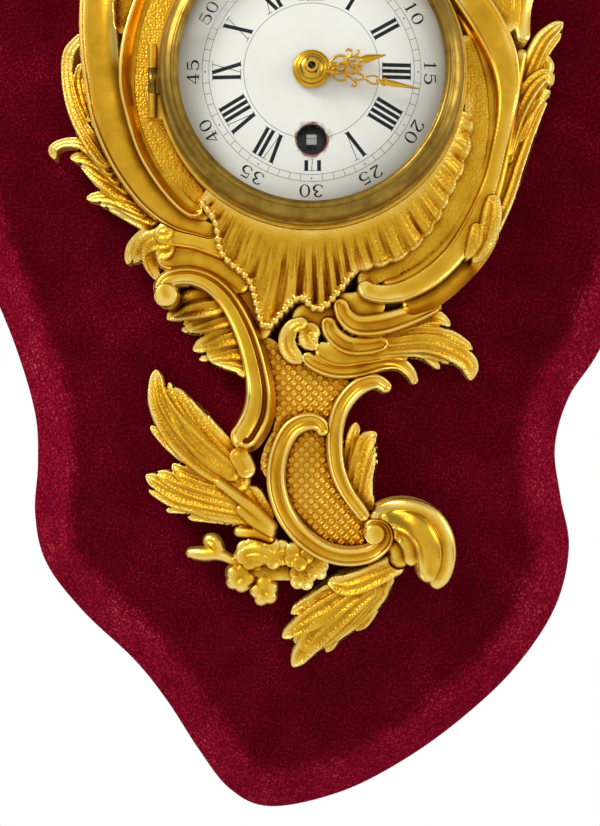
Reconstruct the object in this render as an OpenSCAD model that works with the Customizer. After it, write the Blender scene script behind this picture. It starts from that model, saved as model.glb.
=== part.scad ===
// Cartel clock: a gilt case of scrolls and leaves on a velvet board, with dial, hinged glass and movement.
// The front faces -Y and +Z is up. The origin is on the board's rear face, on the axis of the dial.

/* [Board] */
// Width of the board
board_width = 256; // [246:1:270]
// Height of the board
board_height = 495; // [480:1:520]
// Thickness of the wooden board
board_thick = 18; // [14:0.5:26]
// Height of the board's square edge behind the bevel
board_edge = 9; // [6:0.5:12]
// Width of the bevel around the board's face
bevel_width = 14; // [8:1:16]
// Thickness of the velvet and its backing
velvet_thick = 1.2; // [0.8:0.1:2]
// Diameter of the round pocket behind the movement
pocket_dia = 76; // [72:1:76]
// Depth of that pocket in the board
pocket_depth = 11; // [10:0.5:12]
// Width of the hanging plate
hanger_width = 60; // [50:1:80]
// Height of the hanging plate
hanger_height = 24; // [20:1:30]
// Thickness of the hanging plate
hanger_thick = 2; // [1.5:0.25:3]
// Diameter of the hole for the wall hook
hanger_hole_dia = 7; // [5:0.5:9]

/* [Fastenings] */
// Diameter of the threaded studs in the castings
stud_dia = 3; // [2.5:0.25:3.5]
// Height of the stud ends over the velvet
stud_reach = 7; // [5:0.5:8]
// Diameter of the bosses behind the castings
boss_dia = 8; // [7:0.5:9]
// Depth of the nut counterbores in the board's back
nut_depth = 5; // [4:0.5:7]
// Width of the hexagon nuts across their corners
nut_dia = 7; // [6:0.5:9]

/* [Case] */
// Radial space between the front plate and the case
case_play = 2.5; // [2:0.1:3]
// Wall of the round case
case_wall = 4; // [3:0.25:5]
// Height of the case's front rim over the velvet
case_height = 36; // [36:0.5:38]
// Width of the lugs that carry the movement
lug_width = 9; // [8:0.5:11]
// Gap between neighbouring castings
casting_gap = 0.12; // [0.08:0.02:0.3]

/* [Bezel] */
// Width of the bezel's face
bezel_width = 7; // [6:0.25:7.5]
// Height of the bezel ring
bezel_height = 9.5; // [8.5:0.25:10.5]
// Thickness of the glass
glass_thick = 1.5; // [1.2:0.1:1.8]
// Rise of the domed glass over its rim
glass_rise = 11; // [11:0.5:14]
// Diameter of the hinge pin
hinge_pin_dia = 1.4; // [1.2:0.1:1.6]
// Diameter of the hinge knuckles
knuckle_dia = 3; // [2.8:0.1:3.2]
// Length of each hinge knuckle
knuckle_length = 8; // [6:0.5:10]

/* [Dial] */
// Radial play of the dial in the case
dial_play = 0.5; // [0.3:0.1:1]
// Width of the dial's edge behind the bezel
dial_lap = 3.5; // [3:0.25:4]
// Thickness of the enamel dial
dial_thick = 1.2; // [1:0.1:1.5]
// Rise of the domed dial over its edge
dial_rise = 4; // [3:0.25:4]
// Distance of the winding hole below the centre
winding_drop = 22; // [21.5:0.25:22.5]
// Diameter of the winding hole
winding_hole_dia = 10; // [8:0.5:11]
// Width of the winding square across its flats
winding_square = 3.2; // [2.8:0.1:3.6]

/* [Hands] */
// Length of the hour hand from the centre
hour_length = 24.2; // [22:0.2:26]
// Length of the minute hand from the centre
minute_length = 34.9; // [32:0.2:35]
// Thickness of the hands
hand_thick = 0.8; // [0.6:0.1:0.9]
// Diameter of the hour hand's round boss
hand_boss_dia = 12.2; // [11:0.2:13]
// Clock angle of the hour hand
hour_angle = 79.6; // [0:0.1:360]
// Clock angle of the minute hand
minute_angle = 101.2; // [0:0.1:360]

/* [Movement] */
// Rim of the front plate outside the barrel
plate_rim = 5.7; // [5:0.1:7]
// Step from the front plate's edge in to the back plate's
plate_step = 6.5; // [6:0.1:7]
// Thickness of the plates
plate_thick = 2; // [1.5:0.25:2.5]
// Height of the back plate over the velvet
back_plate_height = 7; // [6.5:0.25:7]
// Length of the pillars between the plates
pillar_length = 19; // [19:0.25:19.5]
// Diameter of the pillars
pillar_dia = 4; // [3:0.25:4]
// Diameter of the wheels' arbors
arbor_dia = 1.8; // [1.4:0.1:2]
// Diameter of the pivots at the arbors' ends
pivot_dia = 1; // [0.8:0.1:1.2]
// Radial play of the pivots and pipes
running_play = 0.04; // [0.03:0.01:0.08]
// Tooth module of the barrel and the intermediate wheel
power_module = 0.4; // [0.4:0.005:0.41]
// Tooth module of the centre, third and fourth wheels
train_module = 0.3; // [0.29:0.005:0.31]
// Diameter of the balance wheel
balance_dia = 16; // [13:0.5:17]
// Diameter of the escape wheel
escape_dia = 10; // [9:0.25:10.5]

/* [Hidden] */
$fn = 48;

GILT = [0.85, 0.62, 0.16];
BRASS = [0.72, 0.58, 0.26];
STEEL = [0.55, 0.56, 0.6];

// Heights are measured from the velvet's front, which lies this far before the rear face
face = board_thick + velvet_thick;
seat = 0.1;
seat_play = 0.3;
close_play = 0.05;

// Radii from the barrel outward: plates, case, dial and bezel
barrel_teeth = 80;
addendum = 0.75;
barrel_tip = (barrel_teeth / 2 + addendum) * power_module;
front_plate_dia = 2 * (winding_drop + barrel_tip + plate_rim);
back_plate_dia = front_plate_dia - 2 * plate_step;
case_bore = front_plate_dia + 2 * case_play;
case_radius = case_bore / 2 + case_wall;
dial_radius = case_bore / 2 - dial_play;
sight_radius = dial_radius - dial_lap;
bezel_radius = sight_radius + bezel_width;

// A drawing in x and z at a height over the velvet, extruded towards the front
module front(height) {
    translate([0, -(face + height), 0]) rotate([90, 0, 0]) children();
}

// A drawing in x and z at a depth before the rear face, extruded towards the front
module rear(depth) {
    translate([0, -depth, 0]) rotate([90, 0, 0]) children();
}

// A place on the wall, in x and z
module at(p) {
    translate([p[0], 0, p[1]]) children();
}

// Smooth curves through hand-set points
function knot(k, i) = k[max(0, min(len(k) - 1, i))];
function loop_knot(k, i) = k[(i + len(k)) % len(k)];
function ease(a, b, c, d, t) =
    0.5 * (2 * b + (c - a) * t + (2 * a - 5 * b + 4 * c - d) * t * t + (3 * b - a - 3 * c + d) * t * t * t);
function open_curve(k, steps) = [
    for (i = [0 : len(k) - 2], s = [0 : steps - 1])
        ease(knot(k, i - 1), knot(k, i), knot(k, i + 1), knot(k, i + 2), s / steps),
    k[len(k) - 1]
];
function closed_curve(k, steps) = [
    for (i = [0 : len(k) - 1], s = [0 : steps - 1])
        ease(loop_knot(k, i - 1), loop_knot(k, i), loop_knot(k, i + 1), loop_knot(k, i + 2), s / steps)
];
function unit(v) = v / max(norm(v), 0.000001);
function heading(c, i) = unit([for (j = [0, 1]) knot(c, i + 1)[j] - knot(c, i - 1)[j]]);

// A stroke of relief: [depth, knots], each knot [x, z, height, width]; depth 0 reaches down to the seat
long_stroke = 4;
joint_lap = 0.4;
SIDES = [for (i = [0 : 5]) [i, (i + 1) % 6, 6 + (i + 1) % 6, 6 + i]];
CAPS = concat([for (i = [0 : 5]) [(i + 1) % 6, i, 12]], [for (i = [0 : 5]) [6 + i, 6 + (i + 1) % 6, 13]]);
function slice(p, dir, depth, grow) =
    let (half = p[3] / 2 + grow, top = p[2] + grow)
    let (low = depth == 0 ? -grow : p[2] - depth - grow)
    let (base = max(low, seat - grow))
    let (shoulder = max(base + 0.2, top - min(0.4 * half, 0.5 * (top - base))))
    let (right = [[half, base], [half, shoulder], [half / 2, top]])
    let (left = [[-half / 2, top], [-half, shoulder]])
    [for (q = concat([[-half, base]], right, left))
        [p[0] - dir[1] * q[0], -(face + q[1]), p[1] + dir[0] * q[0]]];
// One segment between two slices, whose ends bulge into the next so that no two faces coincide
function middle(slice) = (slice[0] + slice[1] + slice[3] + slice[4]) / 4;
module segment(a, b) {
    lap = joint_lap * unit(middle(b) - middle(a));
    hull() polyhedron(points = concat(a, b, [middle(a) - lap, middle(b) + lap]), faces = concat(SIDES, CAPS));
}
module stroke(s, grow = 0) {
    c = open_curve(s[1], len(s[1]) > long_stroke || len(s[1]) < 4 ? 1 : 2);
    slices = [for (i = [0 : len(c) - 1]) slice(c[i], heading(c, i), s[0], grow)];
    for (i = [0 : len(slices) - 2]) segment(slices[i], slices[i + 1]);
}
module strokes(list, grow = 0) {
    for (s = list) stroke(s, grow);
}

// Bosses behind a casting for its studs
module bosses(places, grow = 0) {
    for (p = places) at(p) front(seat - grow)
        cylinder(h = stud_reach + 2 + 2 * grow, d = boss_dia + 2 * grow, $fn = 10);
}
module stud_pockets(places) {
    for (p = places) at(p) front(-1)
        cylinder(h = stud_reach + 1 + seat_play, d = stud_dia + 2 * close_play + 0.1, $fn = 20);
}

// Board outline on the wall, in x and z, clockwise from the low tip
board_outline = [
    [-14, -249], [-28, -243], [-39, -229], [-50, -212], [-62, -197], [-80, -180], [-93, -163], [-97, -146],
    [-96, -128], [-97, -110], [-104, -86], [-116, -56], [-126, -25], [-129, 10], [-125, 45], [-114, 78],
    [-104, 105], [-101, 130], [-101, 155], [-94, 180], [-78, 203], [-54, 224], [-24, 240], [6, 246],
    [36, 239], [62, 222], [84, 200], [98, 174], [106, 146], [112, 116], [120, 84], [126, 48],
    [127, 10], [122, -26], [113, -60], [102, -87], [91, -104], [86, -122], [88, -140], [91, -158],
    [86, -179], [72, -200], [53, -218], [32, -233], [10, -244]
];
// The outline is drawn 256 wide and 495 high and stretched to the board's size
drawn_size = [256, 495];
outline_points = closed_curve(
    [for (p = board_outline) [p[0] * board_width / drawn_size[0], p[1] * board_height / drawn_size[1]]], 2);
function outward(i) =
    let (a = loop_knot(outline_points, i - 1), b = loop_knot(outline_points, i + 1), d = unit(b - a))
    [-d[1], d[0]];
// One ring of the board or its cover: the outline moved outward, at a depth before the rear face
function outline_ring(out, depth) = [
    for (i = [0 : len(outline_points) - 1])
        let (p = outline_points[i] + out * outward(i)) [p[0], -depth, p[1]]
];
function ring_walls(rings, n) = [
    for (r = [0 : rings - 2], i = [0 : n - 1])
        [r * n + i, r * n + (i + 1) % n, (r + 1) * n + (i + 1) % n, (r + 1) * n + i]
];
module ring_solid(rings) {
    n = len(outline_points);
    caps = [[for (i = [n - 1 : -1 : 0]) i], [for (i = [0 : n - 1]) (len(rings) - 1) * n + i]];
    polyhedron(points = [for (r = rings) each r], faces = concat(caps, ring_walls(len(rings), n)));
}

// Relief of the left frame: cove, ridge, ground and leaves
left_frame_strokes = [
    [0, [[-24, 75, 25, 4], [-30, 78.5, 26, 6], [-40, 77, 26, 7], [-52, 68, 27, 8], [-62, 55, 28, 10],
        [-68.5, 40, 29, 12], [-70.5, 25, 30, 12], [-70, 10, 30, 13], [-68.5, -2, 29, 13],
        [-66.5, -12, 29, 13],
        [-63, -22, 27, 12], [-58.5, -30.5, 26, 11], [-52.5, -38.5, 25, 10], [-45, -45, 24, 8],
        [-38, -48, 23, 6], [-32, -50, 22, 5]]],
    [0, [[-10, 60, 33, 5], [-21, 58.5, 33, 6], [-33, 53, 33, 6], [-44, 43.5, 33, 6.5], [-52, 30, 33, 7],
        [-57, 15, 34, 8], [-59, 0, 34, 8], [-57.5, -12, 33, 7], [-54, -23.5, 32, 6.5], [-49, -32.5, 31, 6],
        [-43.5, -39.5, 30, 5.5], [-39, -43, 29, 5], [-36, -42, 28, 4]]],
    [0, [[-44, 30, 30, 10], [-51, 18, 31, 8], [-54, 4, 31, 7], [-54, -8, 31, 7], [-50.5, -19, 30, 8],
        [-46, -28, 29, 8], [-40, -37, 27, 8],
        [-34, -45, 24, 8]]],
    [0, [[-62, 16, 25, 6], [-61, 30, 25, 9], [-55, 46, 25, 11], [-45, 57, 25, 12], [-32, 65, 25, 12]]],
    [0, [[-34, 69, 24, 10], [-20, 68, 24, 9], [-10, 66, 24, 7]]],
    [9, [[-76.5, 17, 19, 3], [-81.5, 12, 17, 4], [-82.5, 5, 16, 4], [-81, -4, 17, 4.5], [-78, -12, 18, 5],
        [-73, -20, 19, 6], [-68, -27, 19, 6]]],
    [8, [[-77, 8, 17, 3], [-78.5, 3, 16, 4], [-77, -4, 17, 4], [-74, -12, 19, 4]]],
    [7, [[-66, -29, 18, 6], [-72, -22.5, 16, 6], [-78, -18.5, 14, 4], [-84, -18, 13, 3], [-88, -20, 12, 3],
        [-87.5, -23, 11, 2]]],
    [6, [[-63, -32, 18, 6], [-70, -26, 15, 6], [-76, -23, 12, 5], [-82, -22.5, 10, 3]]],
    [6, [[-60, -35, 18, 6], [-66, -31, 15, 5], [-72, -28, 12, 4], [-77, -26, 10, 1.6]]],
    [7, [[-54, -42, 18, 7], [-62, -38, 15, 7], [-69, -36, 12, 5], [-76.5, -36.5, 10, 2.4]]],
    [7, [[-51, -45, 18, 6], [-59, -42, 15, 5], [-66, -39, 12, 3.6], [-72, -38.5, 10, 1.6]]],
    [6, [[-58, -37, 15, 12], [-68, -29.5, 13, 12], [-77, -22.5, 10.5, 7]]],
    [6, [[-50, -46, 15, 11], [-60, -41, 12.5, 9], [-69, -38, 10.5, 5]]]
];
left_frame_studs = [[-69, 4], [-58, 52]];

// Relief of the right frame: broad cove, ridge, ground and leaves
right_frame_strokes = [
    [0, [[2, 60, 31, 5], [13, 58.5, 31, 7], [24, 54, 31, 9], [35, 46.5, 31, 10], [44.5, 37, 30, 11],
        [52, 27, 30, 11], [58.5, 17, 30, 11], [63, 7, 30, 10], [64.8, -3, 29, 8], [64, -12, 29, 6],
        [62, -22, 28, 5], [60, -31, 27, 5], [57, -40, 27, 6], [53, -49, 26, 7], [47.5, -57.5, 26, 7],
        [40, -64.5, 25, 7], [31.5, -69, 24, 6.5], [24, -70.3, 24, 6], [18.5, -69, 24, 5.5],
        [18, -66.5, 25, 4.5]]],
    [0, [[49, 24, 27, 4], [54, 14, 27, 4], [57.8, 4, 27, 4.5], [59.6, -6, 27, 4.5], [59.4, -16, 27, 4],
        [57.8, -26, 26, 4], [54.8, -36, 26, 4], [50.3, -46, 25, 4], [44.5, -54.5, 24, 4], [37.5, -61, 23, 4],
        [30, -65.5, 22, 3.6], [24, -67, 22, 2.6]]],
    [0, [[50, 14, 27, 6], [53.5, 2, 28, 7], [54.5, -10, 28, 8], [53.5, -22, 27, 9], [49.5, -34, 26, 10],
        [43.5, -45, 25, 10], [36, -54, 23, 9], [28, -60.5, 21, 7], [21, -64, 20, 6],
        [16, -66.5, 19, 7]]],
    [0, [[34, 79, 25, 4], [37.5, 82, 25, 6], [46, 77, 25, 7], [55, 69, 25, 8], [63, 59, 25, 9],
        [68.5, 47, 24, 9], [70.5, 34, 24, 8.5], [70, 23, 23, 6], [71, 14, 22, 4]]],
    [0, [[65, 18, 23, 8], [62.5, 32, 23, 13], [54, 46, 23, 13], [44, 58, 23, 13], [32, 66, 23, 12],
        [18, 67, 23, 9]]],
    [0, [[71, 12, 20, 4], [68.5, 2, 22, 5], [67, -8, 22, 5], [65, -20, 22, 5], [62.5, -32, 22, 5],
        [59.5, -43, 22, 5]]],
    [8, [[66, -14, 20, 6], [70, -4, 18, 6], [74, 7, 16, 6], [79, 17, 14, 6], [85.5, 23, 12, 3.6]]],
    [7, [[67, -12, 19, 5], [72.5, 1, 16, 5], [78, 11.5, 13, 5], [85, 20, 11, 3]]],
    [9, [[65, -24, 21, 5], [68.5, -11, 20, 6], [73.5, -1, 19, 6.5], [79, 4, 17, 5], [81.5, 1.5, 15, 4]]],
    [8, [[65, -26, 19, 5], [70, -13, 17, 5], [75.5, -5, 15, 5], [81, -0.5, 13, 3]]],
    [8, [[59, -52, 18, 6], [65.5, -38, 17, 6], [70, -25, 15, 6], [75, -12, 13, 5], [80, -2, 11, 3]]],
    [8, [[61, -47, 18, 7], [56, -56, 18, 8], [49, -64, 18, 8], [41, -70.5, 18, 8], [31, -74.5, 18, 7]]],
    [9, [[60, -38.5, 29, 4], [59.5, -45, 29, 7], [58, -53, 27, 6], [54, -60, 24, 3]]],
    [8, [[54.5, -47.5, 28, 3], [54, -53, 28, 5], [51.5, -59, 26, 2]]],
    [7, [[67, -18, 17, 9], [73, -2, 15, 12], [80, 11, 12, 8]]],
    [7, [[62, -40, 16, 9], [67.5, -26, 14, 10], [73, -12, 12, 8]]]
];
right_frame_studs = [[57, -12], [57, 42]];

// Ribbed shell under the bezel: the edge's radius by its angle around the dial
apron_edge = [
    [-133, 55], [-124, 57], [-117, 65], [-107, 70], [-101, 83], [-97, 77], [-93, 72], [-88, 76], [-82, 70],
    [-76, 65], [-63, 66], [-52, 64], [-40, 60], [-27, 57.5], [-13, 54]
];
apron_first = -132;
apron_last = -14;
apron_ribs = 30;
apron_top = 34;
apron_low = 20;
apron_reach = 34;
function apron_height(r) =
    apron_low + (apron_top - apron_low) * pow(1 - min(1, (r - case_radius) / apron_reach), 2);
function apron_point(r, a, w) = [r * cos(a), r * sin(a), apron_height(r), w];
function apron_rib(a, pitch) =
    let (inner = case_radius - 1, outer = lookup(a, apron_edge), middle = (inner + outer) / 2)
    [0, [for (r = [inner, middle, outer]) apron_point(r, a, 1.08 * r * pitch * PI / 180)]];
apron_pitch = (apron_last - apron_first) / (apron_ribs - 1);
apron_strokes = [for (i = [0 : apron_ribs - 1]) apron_rib(apron_first + i * apron_pitch, apron_pitch)];
apron_studs = [[0, -62]];

// Left scroll of the tail, its moulded block, beak leaf and leaf lobes
left_tail_strokes = [
    [0, [[-48, -71, 25, 6], [-50, -68, 26, 5], [-46.5, -65, 26, 6], [-40, -64.2, 25, 6.4],
        [-33.5, -66.5, 24, 7],
        [-28, -71.5, 23, 7.5], [-23.5, -79, 22, 8], [-20.3, -87, 21, 8.4], [-18, -96, 20, 9],
        [-17, -104, 20, 10],
        [-18, -111, 19, 11], [-21, -117, 19, 11], [-25, -121.5, 18, 10.5]]],
    [0, [[-52, -72, 24, 2], [-48, -71, 27, 8], [-44.5, -70, 24, 3]]],
    [0, [[-52, -50.5, 24, 6], [-45, -51, 24, 7], [-37, -52.5, 24, 7], [-25, -57, 23, 7]]],
    [0, [[-51.5, -57.5, 22, 9], [-44, -58, 22, 9], [-36, -59, 22, 8], [-28.5, -62.5, 21, 7],
        [-22, -69, 20, 5]]],
    [8, [[-46, -50, 25.5, 6], [-53, -49.8, 22, 6], [-60, -53.5, 16, 4.5], [-62.5, -59, 12, 2.4]]],
    [7, [[-46, -55, 25, 8], [-53, -55.5, 20, 8], [-54, -60, 14, 5], [-52, -64.5, 12, 2]]],
    [7, [[-46, -52.5, 25, 6], [-55, -53, 20, 7], [-60, -58.5, 13, 3]]],
    [6, [[-29, -72.5, 20, 8], [-36, -72.5, 18, 11], [-43, -74, 14, 9], [-49, -77.8, 10, 2]]],
    [6, [[-26, -77, 19, 7], [-33, -78.5, 16, 7], [-39, -80.3, 12, 5], [-44, -81.6, 9, 2]]],
    [6, [[-22, -83, 18, 8], [-28, -83.5, 16, 8], [-35, -86, 12, 6], [-40, -88.3, 9, 4]]],
    [6, [[-20, -89, 18, 8], [-26, -88.5, 15, 7], [-32, -90.3, 12, 4], [-38, -91.6, 9, 1.6]]],
    [6, [[-19, -97, 17, 7], [-24, -94, 15, 6], [-30, -92.8, 12, 4], [-35, -92, 9, 1.6]]],
    [0, [[-26, -122.5, 15, 7], [-23, -127, 15, 6.5], [-21, -132, 14, 6]]],
    [5, [[-25, -76, 15, 11], [-34, -77.5, 12.5, 12], [-42, -79, 10, 7]]],
    [5, [[-19, -92, 14, 13], [-27, -88.5, 12.5, 13], [-34, -90, 10, 7]]],
    [0, [[-33, -63, 18, 8], [-23, -70, 18, 10], [-16, -84, 15, 8]]]
];
left_tail_studs = [[-19, -92], [-40, -58]];

// Bowl, curl and leaf on the lower right
right_acanthus_strokes = [
    [0, [[9.5, -72, 22, 5], [11, -77, 22, 6], [15.5, -80.5, 22, 7], [23, -80.3, 22, 7.5], [31, -78, 21, 7],
        [38, -75.5, 20, 5.5], [43.5, -73.5, 18, 3]]],
    [0, [[5.5, -78, 20, 5], [7, -83, 20, 6], [12, -87, 20, 6.5], [19, -87.5, 20, 6], [26, -86, 19, 5]]],
    [0, [[-2.5, -90, 18, 4], [1, -93, 18, 5], [8, -95.3, 18, 6], [16, -95, 17, 6], [24, -92.8, 15, 6],
        [30, -93, 12, 5], [34, -96, 10, 4], [36, -100, 8, 2.4]]],
    [0, [[2, -88, 19, 6], [9, -91.3, 19, 6], [18, -91, 18, 5], [27, -89.8, 15, 4.5], [33, -91, 12, 3]]],
    [0, [[-1.5, -79.5, 21, 4], [-6, -81, 21, 5], [-8, -85, 20, 6], [-7, -89.5, 19, 6], [-3, -92.5, 18, 5]]],
    [0, [[1, -80, 20, 7], [-1, -85, 20, 7], [2, -88, 19, 6]]],
    [7, [[18, -83.5, 19, 5], [28, -80.8, 17, 6], [37, -78, 14, 6], [43, -77.5, 12, 5], [47.5, -80, 10, 2]]],
    [6, [[16, -85.3, 18, 5], [28, -82.8, 16, 5], [38, -80.7, 13, 5], [46, -82.2, 10, 2]]],
    [6, [[14, -87, 19, 5], [26, -85, 17, 6], [38, -83.5, 14, 6], [47, -84.5, 12, 6], [55, -88, 9, 3]]],
    [6, [[18, -88.5, 18, 5], [30, -87, 16, 6], [40, -86.5, 14, 7], [48, -89, 12, 7], [54, -93, 10, 6.5],
        [55, -98.3, 8, 3.4]]],
    [6, [[22, -89.5, 17, 5], [32, -88.5, 14, 5], [39, -90, 11, 4], [44, -94.6, 9, 2]]],
    [6, [[20, -86, 16, 12], [36, -84.5, 13, 13], [50, -90, 9.5, 8]]],
    [0, [[-5, -79, 16, 8], [7, -75.5, 17, 11], [24, -73.5, 18, 9]]]
];
right_acanthus_studs = [[20, -84]];

// Inner C-scroll of the tail with its round eye
inner_scroll_strokes = [
    [0, [[4.5, -117.5, 18, 4], [3, -114, 19, 5], [-1, -112.8, 20, 6], [-6.5, -115.5, 20, 6.4],
        [-10.2, -122, 20, 6.4],
        [-11.8, -130, 20, 6.4], [-11, -138, 20, 6.4], [-7.6, -146, 20, 6.4], [-2, -152.4, 20, 6.4],
        [5, -156.8, 20, 6.4], [12.5, -158.4, 20, 6.4], [20, -157.2, 20, 6], [25, -153, 20, 5],
        [24.5, -148.6, 21, 4.4], [21, -147.4, 21, 4], [18.8, -149.6, 21, 4]]],
    [0, [[17.8, -150.5, 20, 5], [21.3, -150.5, 22, 7], [24.6, -150.5, 20, 5]]]
];
inner_scroll_studs = [[-8, -143]];

// Right scroll of the tail with the leaf lobes on its outer side
right_tail_strokes = [
    [0, [[26.5, -102.3, 16, 4], [22, -99.5, 18, 5], [16, -101.4, 19, 6], [11, -107, 19, 6],
        [8.5, -114, 19, 5.6],
        [8, -121, 19, 5.6], [8.9, -129, 19, 5.4], [12, -136.5, 19, 5], [16.4, -142.6, 19, 4.6],
        [19, -146, 19, 4]]],
    [5, [[12, -137, 14, 5], [13, -127, 13, 6], [14.5, -119, 11, 5], [15.5, -113.5, 9, 2.4]]],
    [5, [[14, -139, 14, 5], [16, -128, 13, 6], [18.8, -120, 12, 6.5], [22, -117, 10, 4]]],
    [5, [[16, -140, 13, 4], [18.3, -129.5, 12, 4.6], [20, -124, 10, 4], [22.5, -121.6, 8, 1.6]]],
    [5, [[18, -141, 13, 4], [19.3, -134, 11, 4], [20.5, -129, 10, 3], [22.5, -126, 8, 1.6]]],
    [5, [[19.5, -144, 13, 5], [19.5, -138, 12, 4], [20.3, -132, 10, 2]]],
    [5, [[14, -140, 12, 7], [16.5, -129, 11, 11], [18.5, -120, 9, 8]]]
];
right_tail_studs = [[9.5, -112]];

// Big rolled volute on the lower right of the tail
tail_volute_strokes = [
    [14, [[20, -144.5, 20, 4], [27, -141.8, 24, 6], [34, -142, 26, 7], [40, -145, 26, 7],
        [44, -151, 26, 6.6],
        [45, -158, 25, 6.4], [43.6, -164.5, 23, 6], [41, -168, 20, 4]]],
    [18, [[23, -146, 21, 5], [29.5, -145.5, 26, 8], [35, -148, 29, 9], [38.5, -153.5, 29, 9],
        [39.3, -160, 27, 8],
        [38.5, -166, 22, 5]]],
    [16, [[26.5, -149, 20, 5], [31, -150.5, 25, 7], [33.4, -155, 25, 6], [33.4, -161, 21, 4]]],
    [0, [[28, -153, 18, 6], [30, -157, 18, 8], [29, -162, 16, 6]]]
];
tail_volute_studs = [[34, -152]];

// Long leaf at the foot of the tail
bottom_leaf_strokes = [
    [7, [[31, -160, 16, 7], [22, -164.5, 18, 8], [13, -168, 17, 8], [6, -167.5, 14, 5]]],
    [6, [[20, -165.5, 17, 7], [10, -170, 15, 8], [3, -173.5, 12, 7], [-6.5, -178.6, 9, 3]]],
    [6, [[20, -167, 17, 7], [10, -174, 15, 8], [0, -180.5, 12, 8], [-9.5, -187, 8, 3]]],
    [6, [[21, -168, 17, 7], [10.5, -178, 15, 8], [1, -187, 11, 9], [-6, -197, 7, 4]]],
    [6, [[22, -168, 16, 6], [12.5, -179, 14, 7], [5, -187, 10, 6], [0.3, -192, 7, 2.6]]],
    [6, [[23, -168, 16, 6], [15.5, -178, 13, 6], [9, -185, 10, 5.6], [5.5, -192, 7, 3]]],
    [6, [[24, -167, 15, 5], [17.5, -177, 12, 5], [12, -183, 10, 4], [9, -188, 7, 1.6]]],
    [6, [[25, -165, 15, 6], [21.5, -174, 12, 6], [18.3, -180, 10, 6], [15.6, -184.4, 8, 3.6]]],
    [6, [[27, -163, 15, 5], [24.4, -171, 12, 4.4], [21, -178, 9, 1.6]]],
    [6, [[24, -166, 14, 13], [9, -177, 12, 19], [-3, -189, 8.5, 10]]]
];
bottom_leaf_studs = [[18, -167]];

// Two leaves and cut stems on the left of the tail
left_leaf_strokes = [
    [4, [[-22, -135, 14, 8], [-35, -126.5, 13, 11], [-45.5, -116.5, 11, 11], [-52, -106, 9, 8],
        [-53.3, -95.5, 7, 3.4]]],
    [4, [[-25, -132, 14, 6], [-36.5, -122.5, 12, 8], [-44, -113, 10, 6], [-48, -105, 8, 4],
        [-48.6, -99.8, 7, 2]]],
    [4, [[-27, -130, 13, 6], [-37, -120, 11, 6], [-43, -111, 9, 5], [-45.7, -103.2, 7, 1.6]]],
    [4, [[-26, -129, 13, 6], [-34.5, -121, 11, 7], [-38.3, -114, 9, 5], [-39.4, -107.2, 7, 2]]],
    [4, [[-25, -129, 12, 5], [-32.8, -121, 11, 5], [-35.8, -115, 9, 3], [-36.4, -109.7, 7, 1.4]]],
    [4, [[-24, -130, 12, 5], [-31.4, -122.5, 11, 4], [-34, -118, 9, 3], [-34.2, -114.8, 7, 2]]],
    [4, [[-28, -132.5, 13, 6], [-39.5, -126, 11, 7], [-48, -120, 9, 6], [-55, -114.8, 7, 2]]],
    [4, [[-20, -139.5, 14, 7], [-33, -135, 12, 7], [-43.5, -131, 10, 6], [-47.2, -127.8, 8, 3]]],
    [4, [[-19, -141, 14, 7], [-34, -137.6, 12, 7], [-45, -134, 10, 6], [-52.5, -130.6, 8, 4]]],
    [4, [[-18, -142.5, 14, 7], [-33, -140, 12, 7], [-46, -137, 10, 7], [-56.4, -131.7, 7, 4.4]]],
    [4, [[-18, -144, 13, 6], [-33, -142.2, 11, 6], [-46, -140.5, 9, 5], [-55.5, -136.8, 7, 1.6]]],
    [4, [[-18, -146, 13, 6], [-29, -144, 11, 6], [-40, -143, 9, 4], [-49.6, -143.6, 7, 1.6]]],
    [4, [[-18, -147, 12, 5], [-29, -145.8, 10, 5], [-42, -145.8, 8, 2.4]]],
    [5, [[-32.5, -132.6, 16, 3], [-26, -137.5, 17, 3.4], [-19, -143, 17, 4], [-12, -150, 16, 4]]],
    [5, [[-25.5, -141.5, 15, 3.4], [-19, -147, 16, 4], [-12, -151.5, 16, 4]]],
    [5, [[-26, -150.5, 13, 3.4], [-19, -151, 14, 4], [-12, -153, 15, 4]]],
    [0, [[-22, -136, 12, 9], [-19, -142, 12, 9], [-15, -148, 12, 9]]],
    [4, [[-24, -133, 12, 13], [-39, -119, 10.5, 17], [-49, -103, 7.5, 8]]],
    [4, [[-20, -143, 12, 12], [-37, -138.5, 10.5, 14], [-51, -134, 8, 7]]]
];
left_leaf_studs = [[-20, -141]];

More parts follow.
